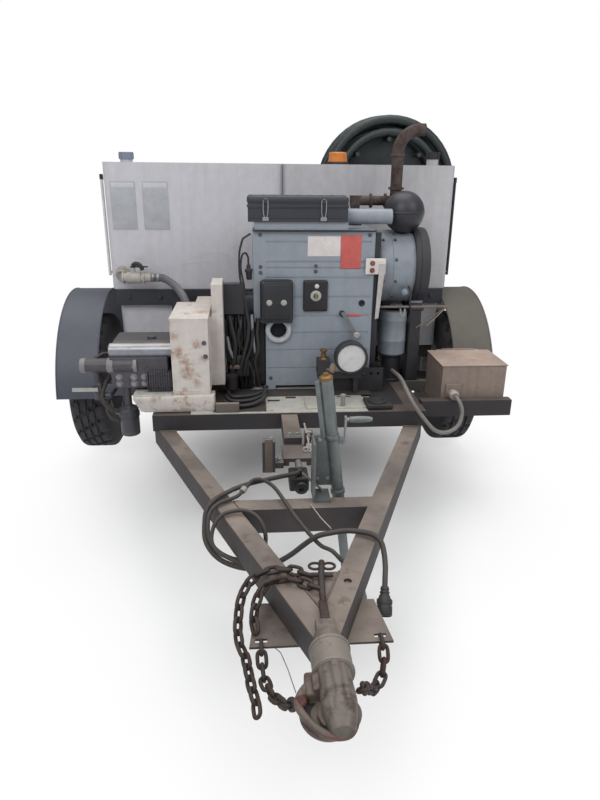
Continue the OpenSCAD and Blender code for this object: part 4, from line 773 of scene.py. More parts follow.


# ---- Tanks ----
# Two rotationally moulded polyethylene tanks side by side, once white and now grey, with faint
# ripples in their walls. Two bare grey label films are stuck to the left one, and a sight tube stands
# on each outer side, clear on the left and dark on the right with stain and painted shade. A black steel
# band holds the tanks.

# Rotationally moulded polyethylene: waxy, off-white, faint pits and grey runs.
tank_skin = weathered("weathered_polyethylene", "#b9b8be", "#aaa59e", rust="#a2978a", dusty=0.4, rusty=0.12,
                      rough=0.5, mottle=0.06, runs=0.22, pit=0.15, pit_size=9)
# The same plastic with painted shade, for the right tank on the shaded side: greyer, with more runs.
tank_shade = weathered("shaded_side_polyethylene", "#b0afb3", "#a39d94", rust="#968b7f", dusty=0.45, rusty=0.15,
                       rough=0.55, mottle=0.07, runs=0.3, pit=0.15, pit_size=9)
paint(tank_skin, "tank_left")
paint(tank_shade, "tank_right")
rounded(12.0, "tank_left", "tank_right", segments=4)
# Vinyl film with its print gone: flat pale grey.
plate_grey = weathered("faded_grey_label_film", "#9fa1a6", "#a6a49f", dusty=0.2, rusty=0.1, rough=0.4,
                       mottle=0.1)
# The film where its print was light: a paler grey strip.
rim_pale = weathered("pale_label_border", "#b7b8bd", "#b0aea9", dusty=0.2, rusty=0.0, rough=0.4,
                     mottle=0.05)
for i, (x0, x1) in enumerate(((-748, -640), (-611, -500))):
    block("tank_plate_%d" % i, (x0, 2118.6, 1067), (x1, 2120.4, 1271), plate_grey, 0.3)
    block("tank_plate_head_%d" % i, (x0 + 6, 2118.2, 1244), (x1 - 6, 2120, 1264), rim_pale, 0.3)
seam = [at(0, 2118.5, z) for z in (815, 1000, 1200, 1346)]
# The gap between the tanks: a thin dark line of painted shade.
bead("tank_seam", seam, 0.0016, weathered("tank_gap_painted_shade", "#6e6d70", "#7a7874", dusty=0.2, rusty=0.0))
ripples = []
for x0, x1, z0, lift in ((-480, -210, 905, 26), (-430, -190, 935, 34), (-250, -150, 980, 22)):
    line = [at(x0 + (x1 - x0) * t / 12, 2120.3, z0 + lift * math.sin(math.pi * t / 12)) for t in range(13)]
    ripples.append(bead("ripple", line, 0.0013, tank_skin))
joined("tank_ripples", ripples)
# Clear vinyl tube, clouded by age: milky and smooth.
tube_clear = weathered("clear_sight_tube", "#c9c9c8", "#b5b1ab", dusty=0.2, rusty=0.0, rough=0.3,
                       mottle=0.1)
# Black vinyl: smooth and half-matt. On the right sight tube its darkness is stain and painted shade.
black_and_shaded_tube = weathered("black_cap_and_shaded_sight_tube", "#1d1c1e", "#3f3d3b", dusty=0.2, rusty=0.0, rough=0.5)
SIGHT_LOW, SIGHT_TALL = 861, 433
for side, finish in (("left", tube_clear), ("right", black_and_shaded_tube)):
    x = -790 if side == "left" else 790
    turned("sight_tube_" + side, at(x, 2170, SIGHT_LOW), Vector((0, 0, 1)),
           [(-1, 0), (-1, 6.4), (SIGHT_TALL + 1, 6.4), (SIGHT_TALL + 1, 0)], finish, sides=20)
    turned("sight_tube_cap_" + side, at(x, 2170, SIGHT_LOW + SIGHT_TALL - 18), Vector((0, 0, 1)),
           [(0, 0), (0, 8), (20, 8), (22, 6), (22, 0)], black_and_shaded_tube, sides=20)

# Satin black enamel on flat steel: blue-black, with a few rust spots.
band_black = weathered("satin_black_band_enamel", "#25272f", "#5b5a5c", rust="#57443a", dusty=0.45,
                       rusty=0.2, rough=0.5)
paint(band_black, "tank_band")
rounded(3.0, "tank_band")
joined("band_bolts", [bolt("head", (x, 2107, 770), (0, -1, 0), 14, band_black)
                      for x in (-700, -560, 560, 700)])

# Moulded polyethylene cap: waxy blue-grey.
paint(weathered("blue_grey_polyethylene", "#7a8293", "#8f9197", dusty=0.3, rusty=0.0, rough=0.5),
      "cap_left")
# Moulded polyethylene cap: waxy black.
paint(weathered("black_polyethylene", "#1f1d20", "#4c4a4a", dusty=0.3, rusty=0.0, rough=0.5), "cap_right")
rounded(1.2, "cap_left", "cap_right", segments=2)


# ---- Tank valve and suction hose ----
# A beige polypropylene ball valve on the left tank, with a short black lever. The suction hose of
# grey rubber is pushed on and held by two steel clips.

# Moulded polypropylene: beige, stained brown in patches.
valve_beige = weathered("beige_polypropylene", "#a39d98", "#a0958a", rust="#7b6a58", dusty=0.5, rusty=0.35,
                        mottle=0.2)
paint(valve_beige, "tank_fittings")
rounded(1.5, "tank_fittings", segments=2)
paint(plug_plastic, "tank_valve_lever")
# Plated steel strip worn bright: pale, with dark scratches.
paint(weathered("worn_bright_lever", "#a3a19f", "#aba69f", rust="#6b5a4c", dusty=0.3, rusty=0.3,
                metal=0.4), "outlet_lever")
hook = [(-665, 2050, 921), (-652, 2046, 930), (-636, 2042, 928), (-626, 2040, 916), (-622, 2040, 902)]
bead("tank_lever_hook", eased([at(*p) for p in hook], 5), 0.009, plug_plastic, "tank_lever")
rounded(1.2, "tank_valve_lever", "outlet_lever", segments=2)
ribs = [turned("rib", at(x, 2050, 868), Vector((1, 0, 0)),
               [(0, 20), (0, 24), (1.5, 25.5), (6, 25.5), (7.5, 24), (7.5, 20)], valve_beige)
        for x in (-712, -692, -640, -622)]
joined("valve_ribs", ribs)
# Extruded hose rubber: mid-grey, smooth and half-matt.
hose_rubber = weathered("grey_rubber_hose", "#56555b", "#7d7875", dusty=0.4, rusty=0.0, rough=0.55)
SUCTION = [at(*p) for p in [
    (-588, 2050, 868), (-562, 2050, 868), (-530, 2038, 866), (-482, 1970, 850), (-436, 1892, 815),
    (-414, 1855, 760), (-414, 1868, 690), (-428, 1900, 630), (-465, 1895, 595), (-480, 1862, 590),
    (-480, 1830, 590)]]
suction = bead("suction_hose_rubber", eased(SUCTION, 8), 0.017, hose_rubber)
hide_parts("suction_hose")
clip = [turned("band", at(x, 2050, 868), Vector((1, 0, 0)),
               [(0, 16), (0, 18.4), (1, 19), (9, 19), (10, 18.4), (10, 16)], zinc) for x in (-584, -562)]
clip.append(bolt("screw", (-575, 2031, 872), (0, -1, 0.2), 8, zinc, washer=False))
joined("suction_hose_clips", clip)


# ---- Warning lamp and tail lamps ----
# A ribbed amber acrylic beacon stands on a black moulded foot on the right tank. The two tail lamps
# at the back of the frame have glossy red lenses.

# Moulded amber acrylic: glossy orange, dulled by dust on top.
amber = weathered("amber_acrylic", "#cf8136", "#d0a071", rust="#a9652c", dusty=0.25, rusty=0.0, rough=0.28,
                  mottle=0.1, pit=0.1)
BEACON = at(252, 2200, 1348)
outline = [(0, 0), (0, 46), (12, 46), (12, 41)]
for i in range(9):
    outline += [(13 + 4 * i, 41.5 - i * 0.5), (15 + 4 * i, 43 - i * 0.5)]
outline += [(50, 38), (52, 30), (53, 0)]
beacon = turned("amber_beacon", BEACON, Vector((0, 0, 1)), outline, amber)
# Moulded red acrylic: glossy dark red.
tail_red = weathered("red_acrylic", "#8a2f2a", "#9a6a60", dusty=0.3, rusty=0.0, rough=0.3, pit=0.1)
lenses = [block("lens", (x - 50, 3300, 386), (x + 50, 3325, 438), tail_red, 4) for x in (-450, 450)]
lenses.append(beacon)
for piece in (beacon, lenses[0], lenses[1]):
    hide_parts("lamps")
turned("beacon_foot", BEACON, Vector((0, 0, 1)),
       [(0, 0), (0, 48.5), (4, 48.5), (9, 47), (11, 46.2), (11, 0)], plug_plastic)


# ---- Hose coil and rack ----
# About nine metres of black-green suction hose with a wound rib, in two layers on pegs behind the
# right tank, before a dark disc of painted shade in the coil's middle. Both ends carry plated couplings.
COIL_X, COIL_Z, COIL_R, COIL_STEP, TURNS = 659, 1230, 400, 66, 4
FRONT_Y, BACK_Y, HOSE_R, RIB_PITCH = 3060, 3116, 24.6, 11.0


def coil_point(t):
    radius = COIL_R - COIL_STEP * min(t, TURNS - t)
    climb = min(1, max(0, (t - TURNS / 2 + 0.25) * 2))
    return at(COIL_X + radius * math.sin(math.tau * t), FRONT_Y + (BACK_Y - FRONT_Y) * climb,
              COIL_Z - radius * math.cos(math.tau * t))


def ribbed(name, line, radius, rib, pitch, sides, material, body="trailer"):
    """A hose along a line, its wall swelling by a rib at every pitch. Lengths are in millimetres."""
    runs = [0]
    for a, b in zip(line, line[1:]):
        runs.append(runs[-1] + (b - a).length * 1000)
    steps = int(runs[-1] / pitch * 3)
    corners, faces, k = [], [], 0
    side = Vector((0.1, 0.2, 1))
    for i in range(steps + 1):
        run = runs[-1] * i / steps
        while k < len(runs) - 2 and runs[k + 1] < run:
            k += 1
        way = (line[k + 1] - line[k]).normalized()
        spot = line[k].lerp(line[k + 1], (run - runs[k]) / (runs[k + 1] - runs[k]))
        side = (side - side.dot(way) * way).normalized()
        other = way.cross(side)
        wall = (radius + (rib if i % 3 == 1 else 0)) / 1000
        for j in range(sides):
            turn = math.tau * j / sides
            corners.append(spot + wall * (math.cos(turn) * side + math.sin(turn) * other))
        if i:
            for j in range(sides):
                a, b = (i - 1) * sides + j, (i - 1) * sides + (j + 1) % sides
                faces.append((a, b, b + sides, a + sides))
    faces.append(tuple(reversed(range(sides))))
    faces.append(tuple(range(steps * sides, (steps + 1) * sides)))
    mesh = bpy.data.meshes.new(name)
    mesh.from_pydata(corners, [], faces)
    piece = bpy.data.objects.new(name, mesh)
    bpy.context.scene.collection.objects.link(piece)
    select_only(piece)
    return settled(name, material, body, 80)


# Wire-wound hose rubber: black-green, with a sheen along its ribs.
coil_rubber = weathered("black_green_hose_rubber", "#1e2627", "#4a524f", dusty=0.25, rusty=0.0, rough=0.38,
                        mottle=0.25, pit=0.2)
coil_line = [at(COIL_X - 52, FRONT_Y, COIL_Z - COIL_R)]
coil_line += [coil_point(k / 48) for k in range(48 * TURNS + 1)]
coil_line.append(at(COIL_X + 52, BACK_Y, COIL_Z - COIL_R))
coil = ribbed("suction_hose_coil", coil_line, HOSE_R, 1.3, RIB_PITCH, 14, coil_rubber)
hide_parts("hose_coil")
paint(zinc, "hose_fittings")
rounded(2.0, "hose_fittings")
# A dark disc behind the coil in the hose's rubber finish: painted shade in the coil's middle.
turned("hose_coil_shade_disc", at(COIL_X, BACK_Y + 29.5, COIL_Z), Vector((0, -1, 0)),
       [(-3, 0), (-3, 376), (0, 376), (0, 0)], coil_rubber, sides=96)
paint(band_black, "hose_rack")
rounded(2.0, "hose_rack")


# ---- Sound capsule ----
# The engine stands in a folded sheet capsule in blue-grey enamel, its front panel pressed with
# long grooves and held by screws. Two bare label films are stuck to it.

# Blue-grey enamel on folded sheet: a smooth half-gloss with light runs.
capsule_paint = weathered("blue_grey_capsule_enamel", "#838a93", "#92969a", rust="#5d534c", dusty=0.35,
                          rusty=0.14, rough=0.42, mottle=0.07, runs=0.1, pit=0.2)
paint(capsule_paint, "engine_capsule", "intake_duct")
rounded(2.2, "engine_capsule")
rounded(3.0, "intake_duct")
# Black-oxide screws: dark metal, browned at the edges.
screw_steel = weathered("dark_oxide_screw", "#55585e", "#77756f", rust="#5d4436", dusty=0.2, rusty=0.4,
                        metal=0.6, rough=0.4)
joined("capsule_screws", [bolt("head", (x, 1720, z), (0, -1, 0), 9, screw_steel) for x, z in [
    (-108, 1086), (-108, 963), (-108, 940), (112, 966), (112, 944), (324, 1086), (-70, 500), (330, 500)]])
# White vinyl film: yellowed, with stains.
label_white = weathered("white_label_film", "#c9c3c0", "#b9b2aa", dusty=0.2, rusty=0.15, rough=0.4,
                        mottle=0.12)
# Red vinyl film: bleached unevenly to brick red.
label_red = weathered("faded_red_label_film", "#b5544f", "#a87c74", rust="#a8453f", dusty=0.25, rusty=0.2,
                      rough=0.4, mottle=0.16)
block("capsule_label_pale", (78, 1718.6, 1004), (208, 1720.4, 1081), label_white, 0.3)
block("capsule_label_red", (210, 1718.5, 956), (292, 1720.4, 1086), label_red, 0.3)
block("capsule_mark_red", (248, 1718.8, 762), (300, 1720.2, 772), label_red, 0.3)
# Pressed ring in pale enamel: dusty grey.
pale_ring = weathered("pale_port_ring", "#a4a9ae", "#a9a7a2", dusty=0.2, rusty=0.2, rough=0.4)
turned("fan_port_ring", at(-38, 1715, 708), Vector((0, -1, 0)),
       [(0, 33), (0, 50), (4, 52.5), (9, 52.5), (12, 49), (12, 38), (9, 34.5), (4, 33), (0, 33)], pale_ring)
# Painted shade inside an opening: nearly black and matt.
port_dark = weathered("shaded_port", "#101218", "#1b1c20", dusty=0.1, rusty=0.0, rough=0.8)
turned("fan_port_floor", at(-38, 1735, 708), Vector((0, -1, 0)), [(0, 0), (0, 36), (4, 36), (4, 0)],
       port_dark)
turned("capsule_plug_hole", at(303, 1724, 816), Vector((0, -1, 0)),
       [(0, 0), (0, 11), (5, 13), (6.5, 13), (6.5, 10), (3, 9), (3, 0)], port_dark)
# Black sheet edges in shade: blue-black, half-matt.
trim = weathered("black_sheet_trim", "#1c1d22", "#3f4043", dusty=0.2, rusty=0.0, rough=0.5)
block("capsule_right_shadow_trim", (347.5, 1724, 470), (372, 1736, 1096), trim, 2)
block("capsule_top_trim", (-137, 1704, 1099), (347, 1712, 1106), trim, 2)


# ---- Air filter box ----
# A black moulded box across the top of the capsule, ribbed along its length. Its cover is hinged at
# the back and held by two wire latches.

# Moulded black polypropylene: fine-grained, blue-black, dusty on top.
moulded = weathered("black_moulded_cover", "#292b32", "#4f5056", dusty=0.4, rusty=0.0, rough=0.5,
                    mottle=0.1)
paint(moulded, "air_box", "air_box_lid")
rounded(9.0, "air_box", "air_box_lid", segments=4)
block("air_lid_shell", (-158, 1697, 1201), (234, 1833, 1231), moulded, 13, "air_lid", segments=5)
block("air_box_lip", (-158, 1696.5, 1190), (234, 1702, 1199.5), moulded, 2.4)
joined("air_box_ribs", [block("rib", (-150, 1697.5, z), (226, 1702, z + 4), moulded, 1.2)
                        for z in (1150, 1186)])
joined("air_lid_ribs", [block("rib", (-140 + 45 * k, 1712, 1229), (-136 + 45 * k, 1818, 1232.5), moulded,
                              1.2, "air_lid") for k in range(9)])
hooks = []
for x in (-87, 136):
    loop = [(x - 9, 1695, 1212), (x - 9, 1693, 1180), (x - 6, 1693, 1158), (x, 1692, 1152),
            (x + 6, 1693, 1158), (x + 9, 1693, 1180), (x + 9, 1695, 1212), (x + 3, 1694, 1219),
            (x - 3, 1694, 1219), (x - 9, 1695, 1212)]
    hooks.append(bead("wire", eased([at(*p) for p in loop], 4), 0.002, zinc))
    hooks.append(block("catch", (x - 12, 1692, 1140), (x + 12, 1699, 1154), zinc, 1.5))
joined("air_box_latches", hooks)


# ---- Pre-cleaner ----
# A black moulded ball on the intake duct that spins the dust out of the air. It has a flat foot, and
# a raised seam runs round it.

# Blow-moulded black plastic: smooth, with one broad highlight.
ball_black = weathered("black_ball_moulding", "#232329", "#4e4d52", dusty=0.35, rusty=0.0, rough=0.42,
                       mottle=0.12)
BALL_SIZE, FOOT_ANGLE = 83.6, -72
ball = [(0, 0)] + [(49.5 + BALL_SIZE * math.sin(math.radians(a)), BALL_SIZE * math.cos(math.radians(a)))
                   for a in range(FOOT_ANGLE, 90, 6)] + [(49.5 + BALL_SIZE, 0)]
turned("precleaner_ball", at(485, 1850, 1116.5), Vector((0, 0, 1)), ball, ball_black, sides=56, angle=60)
turned("precleaner_seam", at(485, 1850, 1162), Vector((0, 0, 1)),
       [(0, 78), (0, 83.6), (1.5, 85), (6, 85), (7.5, 83.6), (7.5, 78)], ball_black, sides=56)


# ---- Fan drum and outlet hood ----
# A rolled steel drum in capsule grey round the cooling fan, a black outlet hood on its right, and
# a black duct that leads down. Screws hold the seams, and a grey oil cooler stands below. A brown
# rod with thin wire stays runs across, and a small clip and lead hang at the drum's lower edge.

# Blue-grey enamel on rolled sheet: half-gloss, chipped round the screws.
drum_paint = weathered("blue_grey_drum_enamel", "#7d848d", "#8f9295", rust="#4f4842", dusty=0.35,
                       rusty=0.18, rough=0.4, mottle=0.12, runs=0.15)
paint(drum_paint, "fan_drum")
rounded(2.5, "fan_drum")
# Black enamel near the heat: dull, dusty, brown in places.
hood_black = weathered("black_hood_enamel", "#29282d", "#4a4848", rust="#4d4038", dusty=0.3, rusty=0.2,
                       rough=0.55)
DRUM_Y, DRUM_Z = 1900, 941
turned("outlet_hood", at(528, DRUM_Y, DRUM_Z), Vector((1, 0, 0)),
       [(0, 150), (0, 160), (3, 162), (18, 162), (19, 160.4), (22, 160.4), (23, 162), (44, 162),
        (52, 159.5), (58.5, 158.8), (60, 150), (60, 0)], hood_black, sides=72)
rings = [turned("seam", at(x, DRUM_Y, DRUM_Z), Vector((1, 0, 0)),
                [(0, 148), (0, 150.6), (1, 151.5), (4, 151.5), (5, 150.6), (5, 148)], drum_paint, sides=64)
         for x in (384, 434, 520)]
joined("drum_seams", rings)
block("outlet_duct", (530, 1808, 447), (582, 1952, 800), hood_black, 6)
block("outlet_duct_collar", (524, 1804, 764), (588, 1956, 782), hood_black, 3)
# Rolled square bar: rusted to an even brown.
rod_rust = weathered("brown_support_rod", "#6b625b", "#857b72", rust="#54392c", dusty=0.4, rusty=0.5,
                     metal=0.3)
block("support_rod", (348, 1728.4, 792.4), (665, 1737.6, 801.6), rod_rust, 2.5)
# Cast iron under oil and dust: dark grey and slightly wet.
paint(weathered("oily_engine_iron", "#4b4e56", "#6e6a66", rust="#4e3a2f", dusty=0.4, rusty=0.35,
                metal=0.3), "engine")
turned("oil_cooler_shell", at(467, 1850, 568), Vector((0, 0, 1)),
       [(0, 0), (0, 54), (6, 59.6), (60, 59.6), (62, 60.6), (66, 60.6), (68, 59.6), (150, 59.6),
        (152, 60.6), (156, 60.6), (158, 59.6), (192, 59.6), (199, 52), (199, 0)], drum_paint, sides=48)
turned("oil_cooler_foot", at(467, 1850, 446), Vector((0, 0, 1)),
       [(0, 0), (0, 48), (8, 50), (14, 43), (110, 42.6), (116, 52), (121, 52), (121, 0)], trim)
joined("drum_screws", [bolt("head", (x, DRUM_Y - 148 * math.cos(a), DRUM_Z + 148 * math.sin(a)),
                            (0, -math.cos(a), math.sin(a)), 9, screw_steel)
                       for x in (396, 446) for a in (-0.9, -0.3, 0.3, 0.9)])
# Drawn steel wire: grey-brown, thinly rusted.
stay_steel = weathered("bare_stay_steel", "#8a8078", "#a0968c", rust="#6b4a38", dusty=0.4, rusty=0.5,
                       metal=0.3)
stays = [bead("rod", [at(*p) for p in route], 0.003, stay_steel)
         for route in [[(664, 1733, 797), (625, 1740, 752), (591, 1750, 711)],
                       [(664, 1733, 797), (612, 1780, 738), (560, 1806, 690)],
                       [(365, 1726, 797), (372, 1716, 780), (372, 1716, 772)]]]
joined("stay_wires", stays)
clips = [turned("clip", at(483, 1752, 857), Vector((0.2, -1, -0.4)),
                [(0, 0), (0, 13), (3, 15), (14, 14), (18, 9), (22, 0)], drum_paint, sides=20)]
clips += [bead("clip", eased([at(*p) for p in [(466, 1722, 792), (466, 1718, 770), (474, 1716, 756),
                                               (484, 1718, 768), (484, 1722, 792)]], 5), 0.0035, zinc),
          bead("lead", eased([at(*p) for p in [(500, 1750, 880), (512, 1738, 850), (505, 1730, 815),
                                               (512, 1728, 780), (505, 1740, 730)]], 5), 0.004, trim)]
joined("fan_clips", clips)


# ---- Exhaust ----
# A steel silencer stub and pipe, burnt and rusty all over, that bends to the right at the top. Its
# mouth is open and sooty inside.

# Exhaust tube burnt bare: dark scaly rust without any gloss.
exhaust_rust = weathered("burnt_rusty_steel", "#493f3c", "#6b605a", rust="#35231d", dusty=0.3, rusty=0.75,
                         rough=0.8, mottle=0.3, pit=0.9)
paint(exhaust_rust, "exhaust")
rounded(1.5, "exhaust", segments=2)
flanges = [turned("flange", at(x, 1965, 1205), Vector((1, 0, 0)),
                  [(0, 20), (0, 28), (1.5, 30), (7, 30), (8.5, 28), (8.5, 20)], exhaust_rust)
           for x in (362, 424)]
flanges.append(turned("flange", at(472, 1965, 1380), Vector((0, 0, 1)),
                      [(0, 24), (0, 28), (2, 29), (10, 29), (12, 28), (12, 24)], exhaust_rust))
joined("exhaust_flanges", flanges)


# ---- Controls ----
# A black moulded belt cover with two pale bolts, the key switch in its black plate, the throttle
# on a pale plate with two rusty bolts, and the stop lever on its pin.

# Moulded black plastic: half-gloss, greyed on top.
cover_black = weathered("black_moulded_belt_cover", "#1f2025", "#46474b", dusty=0.35, rusty=0.0,
                        rough=0.42, mottle=0.15)
paint(cover_black, "control_panel")
rounded(7.0, "control_panel", segments=4)
block("belt_cover_shell", (-112, 1678, 742), (20, 1716, 916), cover_black, 15, segments=5)
block("belt_cover_face", (-98, 1674.5, 760), (6, 1682, 900), cover_black, 3.4)
# Plated bolt heads: pale grey, a little metallic.
pale_bolt = weathered("pale_bolt_head", "#aaa8a4", "#b4aea5", rust="#7a6450", dusty=0.3, rusty=0.3,
                      metal=0.3)
joined("cover_bolts", [bolt("head", (x, 1674.5, 828), (0, -1, 0), 15, pale_bolt) for x in (-76, -18)])
# Moulded black plate: smooth, with a slight shine.
key_plate = weathered("black_key_plate", "#17181d", "#35353a", dusty=0.2, rusty=0.0, rough=0.4)
block("key_plate", (62, 1703.5, 785), (161, 1721, 911), key_plate, 8, segments=4)
turned("key_switch_ring", at(112, 1706, 850), Vector((0, -1, 0)),
       [(2, 9), (2, 20), (5, 22), (9, 21), (10, 17), (10, 9)], pale_bolt)
turned("charge_lamp", at(116, 1704, 888), Vector((0, -1, 0)), [(0, 0), (0, 9), (3, 9), (6, 6), (7, 0)],
       label_white)
# Stamped brass key: dull olive-yellow metal.
paint(weathered("tarnished_key_brass", "#8f8468", "#a39a86", dusty=0.2, rusty=0.3, metal=0.6, rough=0.4),
      "key")
rounded(1.5, "key")
block("throttle_plate", (311, 1709.5, 934), (392, 1713, 997), label_white, 1)
# Unpainted bolts: fresh red-brown rust, with a finish of its own on each bolt.
rusty_bolts = []
for z in (950, 978):
    bolt_rust = weathered("rusty_bolt_%d" % z, "#7a4c3c", "#8a6a5a", rust="#54281c", dusty=0.2, rusty=0.8)
    rusty_bolts.append(bolt("head", (338, 1709.5, z), (0, -1, 0), 13, bolt_rust))
joined("throttle_plate_bolts", rusty_bolts)
# White enamel on strip, rubbed by hands: off-white and dull.
lever_pale = weathered("worn_white_lever", "#a9a5a3", "#b5afa8", rust="#7a6a5c", dusty=0.3, rusty=0.25)
# Bare flat steel: mid-grey with a soft sheen.
lever_grey = weathered("grey_lever_steel", "#75787b", "#8f8c88", rust="#5d4a3e", dusty=0.3, rusty=0.3,
                       metal=0.4)
paint(lever_pale, "throttle_lever")
paint(lever_grey, "stop_lever")
rounded(1.2, "throttle_lever", "stop_lever", segments=2)
turned("stop_knob", at(284, 1709, 686), Vector((0, -1, 0)),
       [(0, 0), (0, 10), (3, 13), (12, 13), (15, 10), (15, 0)], pale_bolt, "stop")


# ---- Belt guard ----
# Folded cream sheet over the pulleys: a deep front box, a low rear part and a tall narrow part.
# The paint is stained with rust where bolts have bled.
paint(cream, "belt_guard")
rounded(4.0, "belt_guard")
folds = [block("fold", (-451, 1488.6, 527), (-308, 1491, 531), cream, 0.8),
         block("fold", (-451.5, 1489, 804), (-307.5, 1797, 809.5), cream, 1.5)]
joined("guard_folds", folds)
joined("guard_bolts", [bolt("head", (x, 1490, z), (0, -1, 0), 11, screw_steel)
                       for x, z in ((-322, 664), (-326, 716))])


# ---- Pump ----
# A triplex plunger pump cast in aluminium, with a finned gearbox, a bright inlet pipe along its
# front, a painted outlet pipe below it and a strainer that hangs from its left end.

# Sand-cast aluminium under oil: dark, grainy, with metallic highlights.
pump_cast = weathered("oily_cast_aluminium", "#48464c", "#6f6964", rust="#3a302b", dusty=0.5, rusty=0.4,
                      metal=0.35, rough=0.5, mottle=0.3, pit=0.8, pit_size=3)
cast_copy("pump_casting", "pump", [], 3.2, 3, pump_cast, "trailer", swell=0.6)
# Polished pipe, scuffed: bright below, dust along its top.
bright = weathered("scuffed_bright_pipe", "#7f828c", "#c2b9ae", rust="#5c4a40", dusty=0.75, rusty=0.3,
                   metal=0.5, rough=0.32, mottle=0.25)
# Painted pipe: grey, matt with dust.
pale_pipe = weathered("dusty_painted_pipe", "#77747a", "#8f8983", rust="#6b5646", dusty=0.6, rusty=0.35,
                      mottle=0.2)
turned("pump_inlet_pipe", at(-690, 1560, 672), Vector((1, 0, 0)),
       [(0, 0), (0, 22), (4, 27.6), (10, 28.4), (14, 27.8), (226, 27.8), (230, 28.6), (236, 28.6),
        (238, 0)], bright)
turned("pump_outlet_pipe", at(-798, 1545, 618), Vector((1, 0, 0)),
       [(20, 0), (20, 19), (0, 20), (0, 26), (3, 28), (18, 28), (20, 26.4), (100, 26.4), (102, 29),
        (122, 29), (124, 26.4), (198, 26.4), (200, 30), (212, 30), (214, 0)], pale_pipe)
joined("pump_bolts", [bolt("head", (x, 1530, z), (0, -1, 0), 17, pale_pipe)
                      for x in (-655, -600, -560) for z in (548, 574)])
joined("pump_fins", [block("fin", (-548 + 9 * k, 1506, 524), (-544 + 9 * k, 1534, 598), pump_cast, 1.5)
                     for k in range(10)])
# Moulded nylon bowl: dark grey with a smooth shine.
strainer_black = weathered("black_strainer_bowl", "#34343b", "#6a676a", dusty=0.4, rusty=0.1, rough=0.4)
turned("strainer_bowl", at(-634, 1555, 328), Vector((0, 0, 1)),
       [(0, 0), (0, 22), (6, 32), (20, 36.6), (78, 36.8), (80, 40), (96, 40), (98, 36.8), (110, 35),
        (116, 26), (124, 18), (124, 0)], strainer_black)
hoses = []
for route, radius in [([(-700, 1590, 560), (-716, 1560, 540), (-728, 1530, 500), (-715, 1520, 470),
                        (-690, 1530, 440), (-655, 1550, 430)], 9),
                      ([(-690, 1640, 500), (-712, 1600, 470), (-720, 1560, 430), (-700, 1540, 400),
                        (-668, 1550, 385)], 7),
                      ([(-690, 1620, 640), (-722, 1600, 648), (-748, 1580, 636), (-760, 1560, 620)], 8)]:
    hoses.append(bead("hose", eased([at(*p) for p in route], 5), radius / 1000, sheath))
joined("pump_side_hoses", hoses)


# ---- Shafts, pulleys and belts ----
# Turned steel shafts and cast pulleys under the guard, with three rubber belts round them. The rotor
# of the cooling fan is of the same bare iron.

# Turned cast iron: grey metal, rusty where no belt runs.
iron = weathered("machined_iron", "#5c5e64", "#77736e", rust="#5a4234", dusty=0.3, rusty=0.35, metal=0.5)
paint(iron, "engine_rotor", "fan_rotor", "pump_rotor")
rounded(1.5, "pump_rotor", segments=2)
paint(plug_plastic, "drive_belts")


# ---- Pressure gauge and unloader ----
# A liquid-filled gauge in a black case: white dial with plain numbers, a black needle, and a glass
# over it. The brass unloader stands beside it, and rusty unions join its pipe.

# Stamped case in black enamel: half-gloss, chipped.
case_black = weathered("black_gauge_case", "#26252a", "#4c4a4b", rust="#3f332c", dusty=0.3, rusty=0.2,
                       rough=0.45)
paint(case_black, "gauge")
rounded(1.5, "gauge", segments=2)
paint(plug_plastic, "gauge_needle")
FACING = Vector((0, -1, 0))
turned("gauge_bezel", at(250, 1603, 616), FACING,
       [(0, 58), (0, 66.5), (3, 67.5), (6, 66), (8, 62), (8, 57), (3, 56), (0, 58)], case_black, sides=64)
# Printed aluminium dial: plain off-white.
dial_white = weathered("printed_dial", "#bcb8b8", "#b5b0ac", dusty=0.1, rusty=0.0, rough=0.35, mottle=0.05,
                       pit=0.05)
turned("gauge_dial", at(250, 1609, 616), FACING, [(0, 0), (0, 57.5), (2, 57.5), (2, 0)], dial_white,
       sides=64)
# Printing ink: flat grey.
ink = weathered("dial_ink", "#6f6d70", "#6f6d70", dusty=0.0, rusty=0.0, rough=0.5)
marks = []
tick_centre, digit_centre = at(250, 1606.8, 616), at(250, 1606.6, 616)
for k in range(31):
    turn = math.radians(-135 + 9 * k)
    long_mark = k % 5 == 0
    way = Vector((math.sin(turn), 0, math.cos(turn)))
    inner, outer = (42 if long_mark else 47), 52
    marks.append(bead("tick", [tick_centre + way * inner / 1000, tick_centre + way * outer / 1000],
                      0.0007 if long_mark else 0.0004, ink))
for k in range(7):
    turn = math.radians(-135 + 45 * k)
    way = Vector((math.sin(turn), 0, math.cos(turn)))
    bpy.ops.object.select_all(action="DESELECT")
    bpy.ops.object.text_add(location=digit_centre + way * 0.033, rotation=(math.pi / 2, 0, 0))
    digits = bpy.context.object
    digits.data.body = str(50 * k)
    digits.data.size = 0.013
    digits.data.align_x = "CENTER"
    digits.data.align_y = "CENTER"
    digits.data.extrude = 0.0002
    bpy.ops.object.convert(target="MESH")
    marks.append(settled("digits", ink))
joined("gauge_markings", marks)
# Flat float glass, a little hazed: clear, with a soft highlight over the dial.
glass = new_material("clear_gauge_glass")
clear = add(glass, "ShaderNodeBsdfPrincipled",
            {"Base Color": linear("#f4f5f4"), "Roughness": 0.12, "IOR": 1.5, "Alpha": 0.28})
add(glass, "ShaderNodeOutputMaterial", links={"Surface": clear.outputs[0]})
turned("gauge_glass", at(250, 1600.5, 616), FACING, [(0, 0), (0, 57), (1.2, 56), (2, 40), (2.6, 0)], glass,
       sides=48)
unloader = [turned("body", at(143, 1650, 574), Vector((0, 0, 1)),
                   [(0, 0), (0, 17), (4, 19), (26, 19), (30, 15), (34, 11), (52, 10), (54, 7), (66, 7),
                    (67, 0)], brass, sides=32),
            turned("knob", at(143, 1650, 634), Vector((0, 0, 1)),
                   [(0, 0), (0, 13), (2, 15), (8, 15), (10, 12), (10, 0)], brass, sides=12)]
joined("unloader", unloader)
